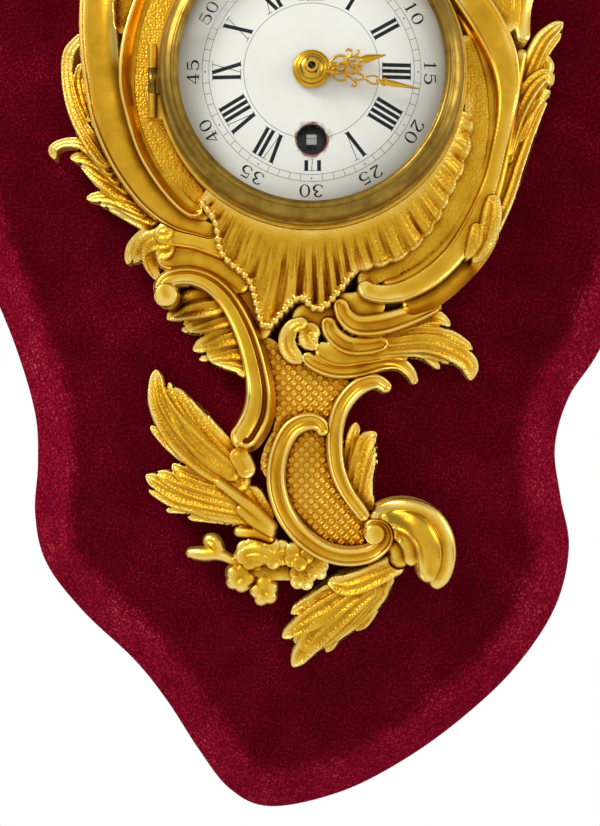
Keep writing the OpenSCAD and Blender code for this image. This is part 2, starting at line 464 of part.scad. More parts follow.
// A round flower of petals about a heart, and a loop of them for the spray
function petal(x, z, h, r, a) =
    let (dir = [cos(a), sin(a)])
    [5, [[x - 0.3 * r * dir[0], z - 0.3 * r * dir[1], h, r * 0.5],
        [x + 0.5 * r * dir[0], z + 0.5 * r * dir[1], h + 0.4, r * 0.9],
        [x + r * dir[0], z + r * dir[1], h - 1, r * 0.5]]];
function flower(x, z, h, r, petals, turn) = [
    for (i = [0 : petals - 1]) petal(x, z, h - 0.17 * i, r, turn + i * 360 / petals)
];
flower_strokes = concat(
    [
        [5, [[-42.8, -158, 9, 3], [-37, -158.4, 11, 5], [-31, -158.6, 12, 4], [-24, -161.5, 13, 2.4],
            [-16, -163, 13, 4]]],
        [5, [[-36, -153.6, 9, 3], [-33.5, -154.5, 11, 6], [-31, -158.4, 12, 4]]],
        [6, [[-25.5, -160, 13, 3], [-21, -157.5, 16, 8], [-16, -157.5, 17, 8], [-13, -160.5, 15, 5]]],
        [6, [[-27.5, -163.5, 11, 4], [-25, -165.5, 13, 8], [-22.5, -167, 12, 6]]],
        [6, [[-17, -173.5, 9, 4], [-16.5, -170.5, 12, 8], [-15.5, -165.5, 13, 5]]],
        [0, [[-20, -162, 12, 7], [-13, -162.5, 12, 9], [-5, -162.5, 12, 9], [1, -163, 12, 7]]]
    ],
    flower(-12.2, -158.2, 14, 4.2, 3, 40), flower(-4.5, -157.6, 15, 4.4, 5, 50),
    flower(0.8, -162, 14, 3.8, 3, 20), flower(-5, -166, 13, 4, 3, 200)
);
flower_studs = [[-9, -162]];

// Lattice ground of the tail, in x and z
tail_ground = [
    [-16, -84], [-6, -90], [4, -95], [13, -98], [9, -110], [7, -122], [10, -134], [18, -145], [19, -152],
    [12, -158], [1, -154.5], [-8, -145.5], [-12, -136], [-17, -129], [-16, -122], [-12, -112], [-15, -96]
];
tail_ground_height = 12;
tail_studs = [[-4, -102], [2, -136]];

// Crest over the dial: a fan of ribs, two scrolls, a lattice ground and a plume
crest_centre = [0, 57];
crest_ribs = 9;
function crest_rib(a) =
    let (dir = [cos(a), sin(a)], reach = 22 + 5 * sin(a) + 2 * cos(4 * a))
    [0, [for (s = [[7, 32, 2.4], [14, 29, 5], [reach, 23, 6.4]])
        [crest_centre[0] + s[0] * dir[0], crest_centre[1] + s[0] * dir[1], s[1], s[2]]]];
crest_shell_strokes = [for (i = [0 : crest_ribs - 1]) crest_rib(30 + 120 * i / (crest_ribs - 1))];
crest_shell_studs = [[0, 72]];
crest_left_strokes = [
    [0, [[-28, 79, 20, 6], [-37, 88, 22, 8], [-40, 101, 22, 8], [-35.5, 113, 22, 8], [-25.5, 120, 22, 7],
        [-15, 119.5, 22, 6], [-9.5, 113, 21, 5], [-12.5, 107, 20, 4]]],
    [6, [[-37, 94, 18, 7], [-47, 99, 15, 8], [-56, 107, 12, 6], [-61, 119, 9, 2.4]]],
    [6, [[-38, 101, 17, 6], [-46, 108, 14, 7], [-52, 118, 11, 5], [-54, 130, 8, 2]]],
    [6, [[-36, 109, 17, 6], [-42, 116, 14, 6], [-44, 126, 11, 4], [-43, 136, 8, 2]]]
];
crest_left_studs = [[-38, 103]];
crest_right_strokes = [
    [0, [[34, 82, 20, 6], [43, 92, 22, 8], [47.5, 105, 22, 8], [46, 118, 22, 8], [39.5, 126, 22, 7],
        [31.5, 127, 22, 6], [27.5, 120.5, 21, 5], [31, 115, 20, 4]]],
    [6, [[45, 98, 18, 7], [56, 102, 15, 8], [65, 111, 12, 6], [69, 124, 9, 2.4]]],
    [6, [[46, 107, 17, 6], [55, 113, 14, 7], [61, 124, 11, 5], [62, 137, 8, 2]]],
    [6, [[45, 115, 17, 6], [52, 123, 14, 6], [55, 133, 11, 4], [54, 144, 8, 2]]]
];
crest_right_studs = [[46, 110]];
crest_plume_strokes = [
    [6, [[8, 112, 19, 8], [8, 138, 20, 10], [12, 164, 15, 9], [18, 189, 8, 3.6]]],
    [6, [[6, 112, 18, 7], [0, 138, 18, 9], [-4, 159, 13, 8], [-4, 179, 8, 3]]],
    [6, [[4, 112, 18, 7], [-8, 132, 17, 8], [-17, 147, 13, 7], [-22, 162, 8, 3]]],
    [6, [[10, 112, 18, 7], [20, 138, 18, 9], [29, 156, 13, 8], [36, 172, 8, 3]]],
    [6, [[12, 114, 18, 7], [28, 136, 17, 8], [40, 147, 13, 7], [49, 159, 8, 3]]],
    [6, [[2, 112, 17, 6], [-13, 126, 16, 7], [-26, 134, 12, 6], [-35, 143, 8, 3]]],
    [0, [[7, 108, 15, 10], [7.5, 116, 15, 12], [8, 126, 15, 10]]],
    [5, [[7, 112, 15, 14], [7, 130, 15, 32], [7, 146, 12, 42]]]
];
crest_plume_studs = [[7.5, 118]];
crest_ground = [
    [-28, 76], [0, 74], [32, 76], [46, 98], [44, 120], [26, 130], [6, 122], [-14, 118],
    [-32, 114], [-40, 100]
];
crest_ground_height = 11;
crest_panel_studs = [[4, 97]];

// Each casting is its relief and the places of its studs
apron = [apron_strokes, apron_studs];
left_side = [left_frame_strokes, left_frame_studs];
right_side = [right_frame_strokes, right_frame_studs];
left_tail = [left_tail_strokes, left_tail_studs];
acanthus = [right_acanthus_strokes, right_acanthus_studs];
inner_curl = [inner_scroll_strokes, inner_scroll_studs];
right_tail = [right_tail_strokes, right_tail_studs];
volute = [tail_volute_strokes, tail_volute_studs];
foot_leaf = [bottom_leaf_strokes, bottom_leaf_studs];
left_leaf = [left_leaf_strokes, left_leaf_studs];
flowers = [flower_strokes, flower_studs];
crest_fan = [crest_shell_strokes, crest_shell_studs];
crest_left = [crest_left_strokes, crest_left_studs];
crest_right = [crest_right_strokes, crest_right_studs];
plume = [crest_plume_strokes, crest_plume_studs];
module mass(own, grow = 0) {
    strokes(own[0], grow);
    bosses(own[1], grow);
}
module case_room() {
    front(seat - 5) cylinder(h = case_height + 20, r = case_radius + casting_gap, $fn = 72);
    hinge_room();
}
// A casting cut back from the case and from those that it lies against
module casting(own, neighbours) {
    color(GILT) difference() {
        mass(own);
        case_room();
        for (other = neighbours) mass(other, casting_gap);
        stud_pockets(own[1]);
    }
}
// A flat ground that fills the space among castings
module ground(outline, height, places, neighbours) {
    color(GILT) difference() {
        front(seat) linear_extrude(height - seat) polygon(closed_curve(outline, 3));
        case_room();
        for (other = neighbours) mass(other, casting_gap);
        stud_pockets(places);
    }
}

// Board, cover and hanging plate
hanger_place = [5, 206];
hanger_sink = 0.5;
hanger_screw_dia = 3;
hanger_screw_head = 6;
hanger_screw_inset = 8;
hook_room_dia = 18;
hook_room_depth = 12;
cover_rear = 1;
cover_gap = 0.02;
module hanger_blank(depth, grow) {
    at(hanger_place) rear(-1)
        translate([-hanger_width / 2 - grow, -hanger_height / 2 - grow, 0])
            cube([hanger_width + 2 * grow, hanger_height + 2 * grow, depth + 1]);
}
module at_hanger_screws() {
    for (side = [-1, 1]) translate([side * (hanger_width / 2 - hanger_screw_inset), 0, 0])
        at(hanger_place) children();
}
module board() {
    color([0.35, 0.22, 0.13]) difference() {
        ring_solid([
            outline_ring(0, 0), outline_ring(0, board_edge), outline_ring(-bevel_width, board_thick)
        ]);
        rear(board_thick - pocket_depth) cylinder(h = pocket_depth + 5, d = pocket_dia);
        for (p = all_studs) at(p) {
            rear(-1) cylinder(h = nut_depth + 1, d = nut_dia + 2);
            rear(-1) cylinder(h = board_thick + 5, d = stud_dia + 0.6);
        }
        hanger_blank(hanger_sink + hanger_thick, seat_play);
        at(hanger_place) rear(-1) cylinder(h = hook_room_depth + 1, d = hook_room_dia);
        at_hanger_screws() rear(-1) cylinder(h = 14, d = hanger_screw_dia + 2 * close_play);
    }
}
// The cover is one closed skin: its outside from the rear to the face, then its inside back to the rear
module velvet_cover() {
    inset = bevel_width;
    outside = [
        outline_ring(velvet_thick, cover_rear), outline_ring(velvet_thick, board_edge + velvet_thick / 2),
        outline_ring(velvet_thick / 2 - inset, face)
    ];
    inner_side = [
        outline_ring(cover_gap - inset, board_thick + cover_gap),
        outline_ring(cover_gap, board_edge + cover_gap), outline_ring(cover_gap, cover_rear)
    ];
    n = len(outline_points);
    walls = [for (f = ring_walls(6, n)) if (floor(f[0] / n) != 2) f];
    rear_edge = [for (i = [0 : n - 1]) [5 * n + i, 5 * n + (i + 1) % n, (i + 1) % n, i]];
    caps = [[for (i = [0 : n - 1]) 2 * n + i], [for (i = [n - 1 : -1 : 0]) 3 * n + i]];
    color([0.35, 0.0, 0.06]) difference() {
        polyhedron(
            points = [for (ring = concat(outside, inner_side)) each ring],
            faces = concat(walls, rear_edge, caps)
        );
        rear(0) cylinder(h = face + 5, d = pocket_dia);
        for (p = all_studs) at(p) rear(0) cylinder(h = face + 5, d = stud_dia + 0.6);
    }
}
module hanging_plate() {
    color(STEEL) difference() {
        at(hanger_place) rear(hanger_sink) translate([-hanger_width / 2, -hanger_height / 2, 0])
            cube([hanger_width, hanger_height, hanger_thick]);
        at(hanger_place) rear(-1) cylinder(h = 10, d = hanger_hole_dia);
        at_hanger_screws() {
            rear(-1) cylinder(h = 10, d = hanger_screw_dia + 2 * close_play);
            rear(-1) cylinder(h = hanger_sink + hanger_thick / 2 + 1, d = hanger_screw_head + 0.4);
        }
    }
}
module hanging_screws() {
    color(STEEL) at_hanger_screws() {
        rear(hanger_sink) cylinder(h = hanger_thick / 2 - close_play, d = hanger_screw_head);
        rear(hanger_sink + hanger_thick / 2 - 0.2) cylinder(h = 10, d = hanger_screw_dia);
    }
}
stud_tail = 1.2;
module casting_studs() {
    color(STEEL) for (p = all_studs) at(p)
        rear(stud_tail) cylinder(h = face - stud_tail + stud_reach, d = stud_dia);
}
module stud_nuts() {
    nut_height = nut_depth - stud_tail - 0.6;
    color(STEEL) for (p = all_studs) at(p) difference() {
        rear(nut_depth - nut_height) cylinder(h = nut_height, d = nut_dia, $fn = 6);
        rear(0) cylinder(h = face, d = stud_dia + 2 * close_play);
    }
}

// Round case with its hinge knuckles and the lugs for the movement
lug_angles = [0, 90, 180];
lug_inner = back_plate_dia / 2 + 0.6;
front_plate_height = back_plate_height + plate_thick + pillar_length;
lug_height = front_plate_height - close_play;
lug_screw_radius = (lug_inner + case_bore / 2) / 2 - 0.9;
movement_screw_dia = 2.4;
lug_thread_depth = 8;
bezel_base = case_height + seat_play;
hinge_x = -(bezel_radius + knuckle_dia / 2 + seat_play);
hinge_height = case_height + knuckle_dia / 2;
hinge_z = -3;
knuckle_gap = 0.2;
knuckle_span = knuckle_length - knuckle_gap;
knuckle_root = knuckle_dia / 2 - case_radius + case_wall / 2 + 0.5;
module hinge_cylinder(z, length, d) {
    translate([hinge_x, -(face + hinge_height), hinge_z + z]) cylinder(h = length, d = d, center = true);
}
module hinge_room() {
    hinge_cylinder(0, 3 * knuckle_length + 4, knuckle_dia + 1);
    translate([hinge_x, 0, hinge_z]) front(case_height - 4)
        translate([-knuckle_dia / 2 - 0.5, -1.5 * knuckle_length - 2, 0])
            cube([knuckle_dia + 1, 3 * knuckle_length + 4, 10]);
}
case_studs = [for (a = lug_angles) (lug_inner + 4) * [cos(a), sin(a)]];
all_studs = concat(
    left_frame_studs, right_frame_studs, apron_studs, left_tail_studs, right_acanthus_studs,
    inner_scroll_studs, right_tail_studs, tail_volute_studs, bottom_leaf_studs, left_leaf_studs, flower_studs,
    case_studs, tail_studs, crest_shell_studs, crest_left_studs, crest_right_studs, crest_plume_studs,
    crest_panel_studs
);
module at_lugs() {
    for (a = lug_angles) translate([lug_screw_radius * cos(a), 0, lug_screw_radius * sin(a)]) children();
}
module case_shell() {
    color(GILT) difference() {
        union() {
            front(seat) difference() {
                cylinder(h = case_height - seat, r = case_radius);
                translate([0, 0, -1]) cylinder(h = case_height + 2, d = case_bore);
            }
            for (a = lug_angles) front(seat) rotate([0, 0, a]) translate([lug_inner, -lug_width / 2, 0])
                cube([case_bore / 2 - lug_inner + 1, lug_width, lug_height - seat]);
            for (side = [-1, 1]) {
                z = side * knuckle_length;
                hinge_cylinder(z, knuckle_span, knuckle_dia);
                translate([hinge_x - knuckle_dia / 2, 0, hinge_z + z - knuckle_span / 2]) {
                    front(case_height - 4) cube([knuckle_root - hinge_x, knuckle_span, 4]);
                    front(case_height - 4) cube([0.8 * knuckle_dia, knuckle_span, 4 + knuckle_dia / 3]);
                }
            }
        }
        hinge_cylinder(0, 3 * knuckle_length + 2, hinge_pin_dia + 2 * running_play);
        hinge_cylinder(0, knuckle_length + knuckle_gap, knuckle_dia + 0.8);
        at_lugs() front(lug_height - lug_thread_depth)
            cylinder(h = lug_thread_depth + 5, d = movement_screw_dia + 2 * close_play);
        stud_pockets(case_studs);
    }
}
// Castings, from the top of the pile down
module shell_apron() {
    casting(apron, []);
}
module left_frame() {
    casting(left_side, [apron]);
}
module right_frame() {
    casting(right_side, [apron, left_side]);
}
module left_tail_scroll() {
    casting(left_tail, [apron, left_side]);
}
module right_acanthus() {
    casting(acanthus, [apron, right_side]);
}
module inner_scroll() {
    casting(inner_curl, []);
}
module right_tail_scroll() {
    casting(right_tail, [acanthus, inner_curl]);
}
module tail_volute() {
    casting(volute, [inner_curl, right_tail]);
}
module bottom_leaf() {
    casting(foot_leaf, [inner_curl, volute]);
}
module left_leaf_spray() {
    casting(left_leaf, [left_tail, inner_curl]);
}
module flower_spray() {
    casting(flowers, [inner_curl, left_leaf, foot_leaf]);
}
module tail_panel() {
    ground(tail_ground, tail_ground_height, tail_studs,
        [apron, left_tail, acanthus, inner_curl, right_tail, volute, left_leaf, flowers, foot_leaf]);
}
module crest_shell() {
    casting(crest_fan, [left_side, right_side]);
}
module crest_left_scroll() {
    casting(crest_left, [left_side, crest_fan]);
}
module crest_right_scroll() {
    casting(crest_right, [right_side, crest_fan]);
}
module crest_plume() {
    casting(plume, [crest_left, crest_right]);
}
module crest_panel() {
    ground(crest_ground, crest_ground_height, crest_panel_studs,
        [left_side, right_side, crest_fan, crest_left, crest_right, plume]);
}

// Bezel, domed glass, retaining ring and hinge pin
glass_radius = sight_radius + 2;
glass_base = bezel_base + 4.5;
rebate_play = 0.1;
bezel_top = bezel_base + bezel_height;
module bezel_ring() {
    rebate = glass_radius + rebate_play;
    color(BRASS) difference() {
        union() {
            front(0) rotate_extrude() polygon([
                [rebate, bezel_base], [bezel_radius, bezel_base],
                [bezel_radius, bezel_base + 0.3 * bezel_height],
                [bezel_radius - 0.9, bezel_base + 0.6 * bezel_height],
                [bezel_radius - 2.6, bezel_base + 0.87 * bezel_height],
                [bezel_radius - 4.6, bezel_top], [sight_radius + 0.8, bezel_top - 0.2],
                [sight_radius, bezel_top - 1], [sight_radius, glass_base + glass_thick + 1],
                [rebate, glass_base + glass_thick + 0.4]
            ]);
            hinge_cylinder(0, knuckle_span, knuckle_dia);
            translate([hinge_x, 0, hinge_z - knuckle_span / 2]) front(hinge_height - 0.7)
                cube([knuckle_dia / 2 + 1.4, knuckle_span, 1.4]);
        }
        hinge_cylinder(0, 3 * knuckle_length, hinge_pin_dia + 2 * running_play);
    }
}
dome_steps = 10;
// Points along a dome's profile: sphere cap of a rim radius and a rise, over a base height
function dome_radius(rim, rise) = (rim * rim + rise * rise) / (2 * rise);
function dome_profile(rim, rise, base) =
    let (ball = dome_radius(rim, rise), spread = asin(rim / ball))
    [for (i = [0 : dome_steps])
        let (a = spread * i / dome_steps) [ball * sin(a), base + rise - ball * (1 - cos(a))]];
function reversed(list) = [for (i = [len(list) - 1 : -1 : 0]) list[i]];
module bezel_glass() {
    color([0.85, 0.92, 0.95, 0.3]) front(0) rotate_extrude() polygon(concat(
        dome_profile(glass_radius, glass_rise, glass_base + glass_thick),
        reversed(dome_profile(glass_radius, glass_rise, glass_base))
    ));
}
module glass_retainer() {
    color(BRASS) front(glass_base - 2.2) difference() {
        cylinder(h = 2.15, r = glass_radius);
        translate([0, 0, -1]) cylinder(h = 5, r = glass_radius - 1.2);
    }
}
module hinge_pin() {
    color(BRASS) hinge_cylinder(0, 3 * knuckle_length - knuckle_gap, hinge_pin_dia);
}

// Dial with its feet and pins
dial_edge = case_height - dial_thick;
foot_dia = 2.4;
foot_radius = dial_radius - 10;
foot_angles = [30, 150, 270];
foot_tip = front_plate_height - 2;
foot_pin_dia = 0.8;
foot_pin_height = front_plate_height - 0.6;
dial_hole_dia = 9;
module at_feet() {
    for (a = foot_angles) translate([foot_radius * cos(a), 0, foot_radius * sin(a)]) children();
}
module dial() {
    color([0.95, 0.94, 0.9]) difference() {
        union() {
            front(0) rotate_extrude() polygon(concat(
                dome_profile(dial_radius, dial_rise, dial_edge + dial_thick),
                reversed(dome_profile(dial_radius, dial_rise, dial_edge))
            ));
            at_feet() front(foot_tip) cylinder(h = dial_edge - foot_tip + 2, d = foot_dia);
        }
        front(dial_edge - 1) cylinder(h = 12, d = dial_hole_dia);
        front(dial_edge - 1) translate([0, -winding_drop, 0]) cylinder(h = 12, d = winding_hole_dia);
        at_feet() front(foot_pin_height) rotate([0, 90, 0])
            cylinder(h = 6, d = foot_pin_dia + 2 * close_play, center = true);
    }
}
module dial_pins() {
    color(BRASS) at_feet() front(foot_pin_height) rotate([0, 90, 0])
        cylinder(h = 6, d = foot_pin_dia, center = true);
}

// Motion work heights and hands
motion_base = front_plate_height + plate_thick + 0.5;
motion_module = 0.5;
hour_module = 0.48;
cannon_teeth = 12;
minute_teeth = 36;
minute_pinion_teeth = 10;
hour_teeth = 40;
motion_thick = 1.4;
motion_distance = motion_module * (cannon_teeth + minute_teeth) / 2;
motion_angle = 20;
centre_arbor_dia = 2.4;
cannon_pipe_dia = 4;
hour_pipe_dia = 6.4;
dial_top = dial_edge + dial_thick + dial_rise;
hour_hand_height = dial_top + 1.6;
minute_hand_height = hour_hand_height + hand_thick + 0.7;
cannon_top = minute_hand_height + hand_thick + 3;
hour_wheel_height = motion_base + motion_thick + 0.6;
function clock_turn(a) = 90 - a;
module hand_blade(root, tip, half) {
    span = tip - root;
    linear_extrude(hand_thick) polygon([
        [root, -0.4 * half], [root + 0.18 * span, -half], [root + 0.34 * span, -0.45 * half],
        [root + 0.5 * span, -0.8 * half], [root + 0.62 * span, -0.28 * half], [tip, 0],
        [root + 0.62 * span, 0.28 * half], [root + 0.5 * span, 0.8 * half],
        [root + 0.34 * span, 0.45 * half],
        [root + 0.18 * span, half], [root, 0.4 * half]
    ]);
}
module hour_hand() {
    color(GILT) difference() {
        union() {
            front(hour_hand_height) cylinder(h = hand_thick, d = hand_boss_dia);
            front(hour_hand_height) rotate([0, 0, clock_turn(hour_angle)])
                hand_blade(hand_boss_dia / 2 - 0.6, hour_length, 3.6);
        }
        front(hour_hand_height - 1) cylinder(h = 5, d = hour_pipe_dia + 2 * running_play);
        for (side = [-1, 1]) front(hour_hand_height - 1) rotate([0, 0, clock_turn(hour_angle)])
            translate([hand_boss_dia / 2 + 2.8, side * 1.5, 0]) cylinder(h = 5, d = 1.6);
    }
}
module minute_hand() {
    color(GILT) difference() {
        union() {
            front(minute_hand_height) cylinder(h = hand_thick, d = 0.8 * hand_boss_dia);
            front(minute_hand_height) rotate([0, 0, clock_turn(minute_angle)])
                hand_blade(0.4 * hand_boss_dia - 0.6, minute_length, 3);
        }
        front(minute_hand_height - 1) cylinder(h = 5, d = cannon_pipe_dia + 2 * running_play);
        for (side = [-1, 1]) front(minute_hand_height - 1) rotate([0, 0, clock_turn(minute_angle)])
            translate([0.4 * hand_boss_dia + 4.4, side * 1.2, 0]) cylinder(h = 5, d = 1.3);
    }
}
collet_height = 1.6;
hand_pin_dia = 0.9;
hand_pin_height = minute_hand_height + hand_thick + collet_height + hand_pin_dia / 2 + 0.1;
module hand_collet() {
    color(GILT) front(minute_hand_height + hand_thick + 0.02) difference() {
        cylinder(h = collet_height, d1 = 8, d2 = 6);
        translate([0, 0, -1]) cylinder(h = 5, d = cannon_pipe_dia + 2 * running_play);
    }
}
hand_pin_turn = 125;
module hand_pin() {
    color(STEEL) front(hand_pin_height) rotate([0, 90, hand_pin_turn])
        cylinder(h = 5.2, d = hand_pin_dia, center = true);
}

// Going train: tooth counts, places and heights over the back plate
intermediate_pinion = 12;
intermediate_teeth = 72;
centre_pinion = 12;
centre_teeth = 80;
third_pinion = 10;
third_teeth = 75;
fourth_pinion = 10;
fourth_teeth = 70;
escape_pinion = 7;
escape_teeth = 15;
function mesh_distance(m, a, b) = m * (a + b) / 2;
function along(p, distance, a) = [p[0] + distance * cos(a), p[1] + distance * sin(a)];
function bearing(a, b) = atan2(b[1] - a[1], b[0] - a[0]);
centre_at = [0, 0];
barrel_at = [0, -winding_drop];
barrel_reach = mesh_distance(power_module, barrel_teeth, intermediate_pinion);
centre_reach = mesh_distance(power_module, intermediate_teeth, centre_pinion);
mesh_drop = (centre_reach * centre_reach - barrel_reach * barrel_reach + winding_drop * winding_drop)
    / (2 * winding_drop);
intermediate_at = [-sqrt(centre_reach * centre_reach - mesh_drop * mesh_drop), -mesh_drop];
third_at = along(centre_at, mesh_distance(train_module, centre_teeth, third_pinion), 45);
fourth_at = along(third_at, mesh_distance(train_module, third_teeth, fourth_pinion), 160);
escape_at = along(fourth_at, mesh_distance(train_module, fourth_teeth, escape_pinion), 200);
staff_dia = 1.8;
escape_room = 0.25;
balance_at = along(escape_at, escape_dia / 2 + escape_room + staff_dia / 2, 110);
minute_at = along(centre_at, motion_distance, motion_angle);
inside = back_plate_height + plate_thick;
wheel_thick = 1.2;
pinion_extra = 0.4;
barrel_level = inside + 1;
barrel_height = 11.5;
fourth_level = inside + 5;
escape_level = inside + 2;
third_level = inside + 11;
intermediate_level = inside + 13.6;
centre_level = inside + 16;
pivot_length = plate_thick;

// Straight-flanked teeth: thin enough to run with play at every place
dedendum = 1.15;
tip_share = 0.1;
root_share = 0.26;
function tooth(m, n, i, turn) =
    let (a = turn + i * 360 / n, tip = m * n / 2 + addendum * m, root = m * n / 2 - dedendum * m, p = 360 / n)
    [
        [root * cos(a - root_share * p), root * sin(a - root_share * p)],
        [tip * cos(a - tip_share * p), tip * sin(a - tip_share * p)],
        [tip * cos(a + tip_share * p), tip * sin(a + tip_share * p)],
        [root * cos(a + root_share * p), root * sin(a + root_share * p)]
    ];
module gear(m, n, thick, turn) {
    linear_extrude(thick) polygon([for (i = [0 : n - 1]) each tooth(m, n, i, turn)]);
}
// An arbor with pivots in both plates
module arbor(dia) {
    front(arbor_low) cylinder(h = arbor_high - arbor_low, d = dia);
    front(inside - pivot_length) cylinder(h = pillar_length + 2 * pivot_length, d = pivot_dia);
}
arbor_low = inside + 0.3;
arbor_high = front_plate_height - 0.3;
function gap_turn(from, to, n) = bearing(to, from) + 180 / n;
module wheel_and_pinion(place, m, teeth, level, turn, pm, leaves, pinion_level, pinion_turn) {
    at(place) {
        front(level) gear(m, teeth, wheel_thick, turn);
        front(pinion_level - pinion_extra / 2) gear(pm, leaves, wheel_thick + pinion_extra, pinion_turn);
        arbor(arbor_dia);
    }
}
module intermediate_wheel() {
    color(BRASS) wheel_and_pinion(intermediate_at, power_module, intermediate_teeth, intermediate_level,
        bearing(intermediate_at, centre_at), power_module, intermediate_pinion, barrel_level,
        gap_turn(barrel_at, intermediate_at, intermediate_pinion));
}
module third_wheel() {
    color(BRASS) wheel_and_pinion(third_at, train_module, third_teeth, third_level,
        bearing(third_at, fourth_at), train_module, third_pinion, centre_level,
        gap_turn(centre_at, third_at, third_pinion));
}
module fourth_wheel() {
    color(BRASS) wheel_and_pinion(fourth_at, train_module, fourth_teeth, fourth_level,
        bearing(fourth_at, escape_at), train_module, fourth_pinion, third_level,
        gap_turn(third_at, fourth_at, fourth_pinion));
}
module centre_wheel() {
    color(BRASS) {
        front(centre_level) gear(train_module, centre_teeth, wheel_thick, bearing(centre_at, third_at));
        front(intermediate_level - pinion_extra / 2)
            gear(power_module, centre_pinion, wheel_thick + pinion_extra,
                gap_turn(intermediate_at, centre_at, centre_pinion));
        front(inside - pivot_length) cylinder(h = front_plate_height - inside + pivot_length, d = pivot_dia);
        front(arbor_low) cylinder(h = cannon_top - 1.5 - arbor_low, d = centre_arbor_dia);
    }
}
escape_arbor_dia = 1.2;
function escape_tooth(i) =
    let (a = i * 360 / escape_teeth, r = escape_dia / 2)
    [[0.72 * r * cos(a - 8), 0.72 * r * sin(a - 8)], [r * cos(a), r * sin(a)],
        [0.72 * r * cos(a + 2), 0.72 * r * sin(a + 2)]];
module escape_wheel() {
    color(BRASS) at(escape_at) {
        front(escape_level) linear_extrude(0.8)
            polygon([for (i = [0 : escape_teeth - 1]) each escape_tooth(i)]);
        front(fourth_level - pinion_extra / 2) gear(train_module, escape_pinion, wheel_thick + pinion_extra,
            gap_turn(fourth_at, escape_at, escape_pinion));
        arbor(escape_arbor_dia);
    }
}

// Barrel with its spring, arbor, ratchet and click
arbor_core_dia = 6;
barrel_arbor_dia = 4.4;
barrel_radius = power_module * barrel_teeth / 2 - dedendum * power_module;
barrel_wall = 1.2;
barrel_cap = 1;
barrel_room = barrel_height - 2 * barrel_cap;
spring_play = 0.3;
module barrel() {
    color(BRASS) at(barrel_at) difference() {
        union() {
            front(barrel_level)
                gear(power_module, barrel_teeth, wheel_thick, bearing(barrel_at, intermediate_at));
            front(barrel_level) cylinder(h = barrel_height, r = barrel_radius - 0.4);
        }
        front(barrel_level + barrel_cap)
            cylinder(h = barrel_room, r = barrel_radius - 0.4 - barrel_wall);
        front(barrel_level - 1) cylinder(h = barrel_height + 2, d = barrel_arbor_dia + 2 * running_play);
    }
}
module mainspring() {
    color(STEEL) at(barrel_at)
        front(barrel_level + barrel_cap + spring_play) difference() {
            cylinder(h = barrel_room - 2 * spring_play, r = barrel_radius - 0.5 - barrel_wall);
            translate([0, 0, -1]) cylinder(h = barrel_height, d = arbor_core_dia + 2 * spring_play);
        }
}
square_top = dial_top - dial_rise + 2.4;
ratchet_height = front_plate_height + plate_thick + 0.3;
ratchet_thick = 1.4;
ratchet_teeth = 24;
ratchet_radius = 6;
module barrel_arbor() {
    core_low = barrel_level + barrel_cap + 0.15;
    color(STEEL) at(barrel_at) {
        front(back_plate_height) cylinder(h = ratchet_height - back_plate_height, d = barrel_arbor_dia);
        front(core_low) cylinder(h = barrel_room - 0.3, d = arbor_core_dia);
        front(ratchet_height - 0.1) translate([-winding_square / 2, -winding_square / 2, 0])
            cube([winding_square, winding_square, square_top - ratchet_height + 0.1]);
    }
}
function ratchet_tooth(i) =
    let (a = i * 360 / ratchet_teeth, p = 360 / ratchet_teeth, r = ratchet_radius)
    [[0.86 * r * cos(a), 0.86 * r * sin(a)], [r * cos(a + 0.06 * p), r * sin(a + 0.06 * p)]];
module ratchet_wheel() {
    side = winding_square + 2 * running_play;
    color(STEEL) at(barrel_at) front(ratchet_height) difference() {
        linear_extrude(ratchet_thick) polygon([for (i = [0 : ratchet_teeth - 1]) each ratchet_tooth(i)]);
        translate([-side / 2, -side / 2, -1]) cube([side, side, 5]);
    }
}
click_at = [barrel_at[0] + 12, barrel_at[1] + 3];
click_hole_dia = 2;
click_tip_gap = 0.25;
click_reach = norm(click_at - barrel_at);
click_turn = bearing(click_at, barrel_at);
module click() {
    tip = click_reach - ratchet_radius - click_tip_gap;
    color(STEEL) at(click_at) front(ratchet_height) rotate([0, 0, click_turn])
        difference() {
            union() {
                cylinder(h = ratchet_thick, d = 4.4);
                translate([0, -0.7, 0]) cube([tip, 1.4, ratchet_thick]);
            }
            translate([0, 0, -1]) cylinder(h = 5, d = click_hole_dia + 2 * running_play);
        }
}
module click_screw() {
    color(STEEL) at(click_at) {
        front(front_plate_height + 0.1) cylinder(h = plate_thick + ratchet_thick + 0.5, d = click_hole_dia);
        front(ratchet_height + ratchet_thick + 0.15) cylinder(h = 0.9, d = 4);
    }
}
click_spring_width = 0.6;
module click_spring() {
    foot = along(click_at, 11, click_turn - 130);
    color(STEEL) at(foot) {
        front(front_plate_height + plate_thick + 0.02) cylinder(h = 0.3 + ratchet_thick, d = 3);
        front(ratchet_height) rotate([0, 0, click_turn + 50 - 6]) translate([0, -click_spring_width / 2, 0])
            cube([8.2, click_spring_width, ratchet_thick]);
    }
}

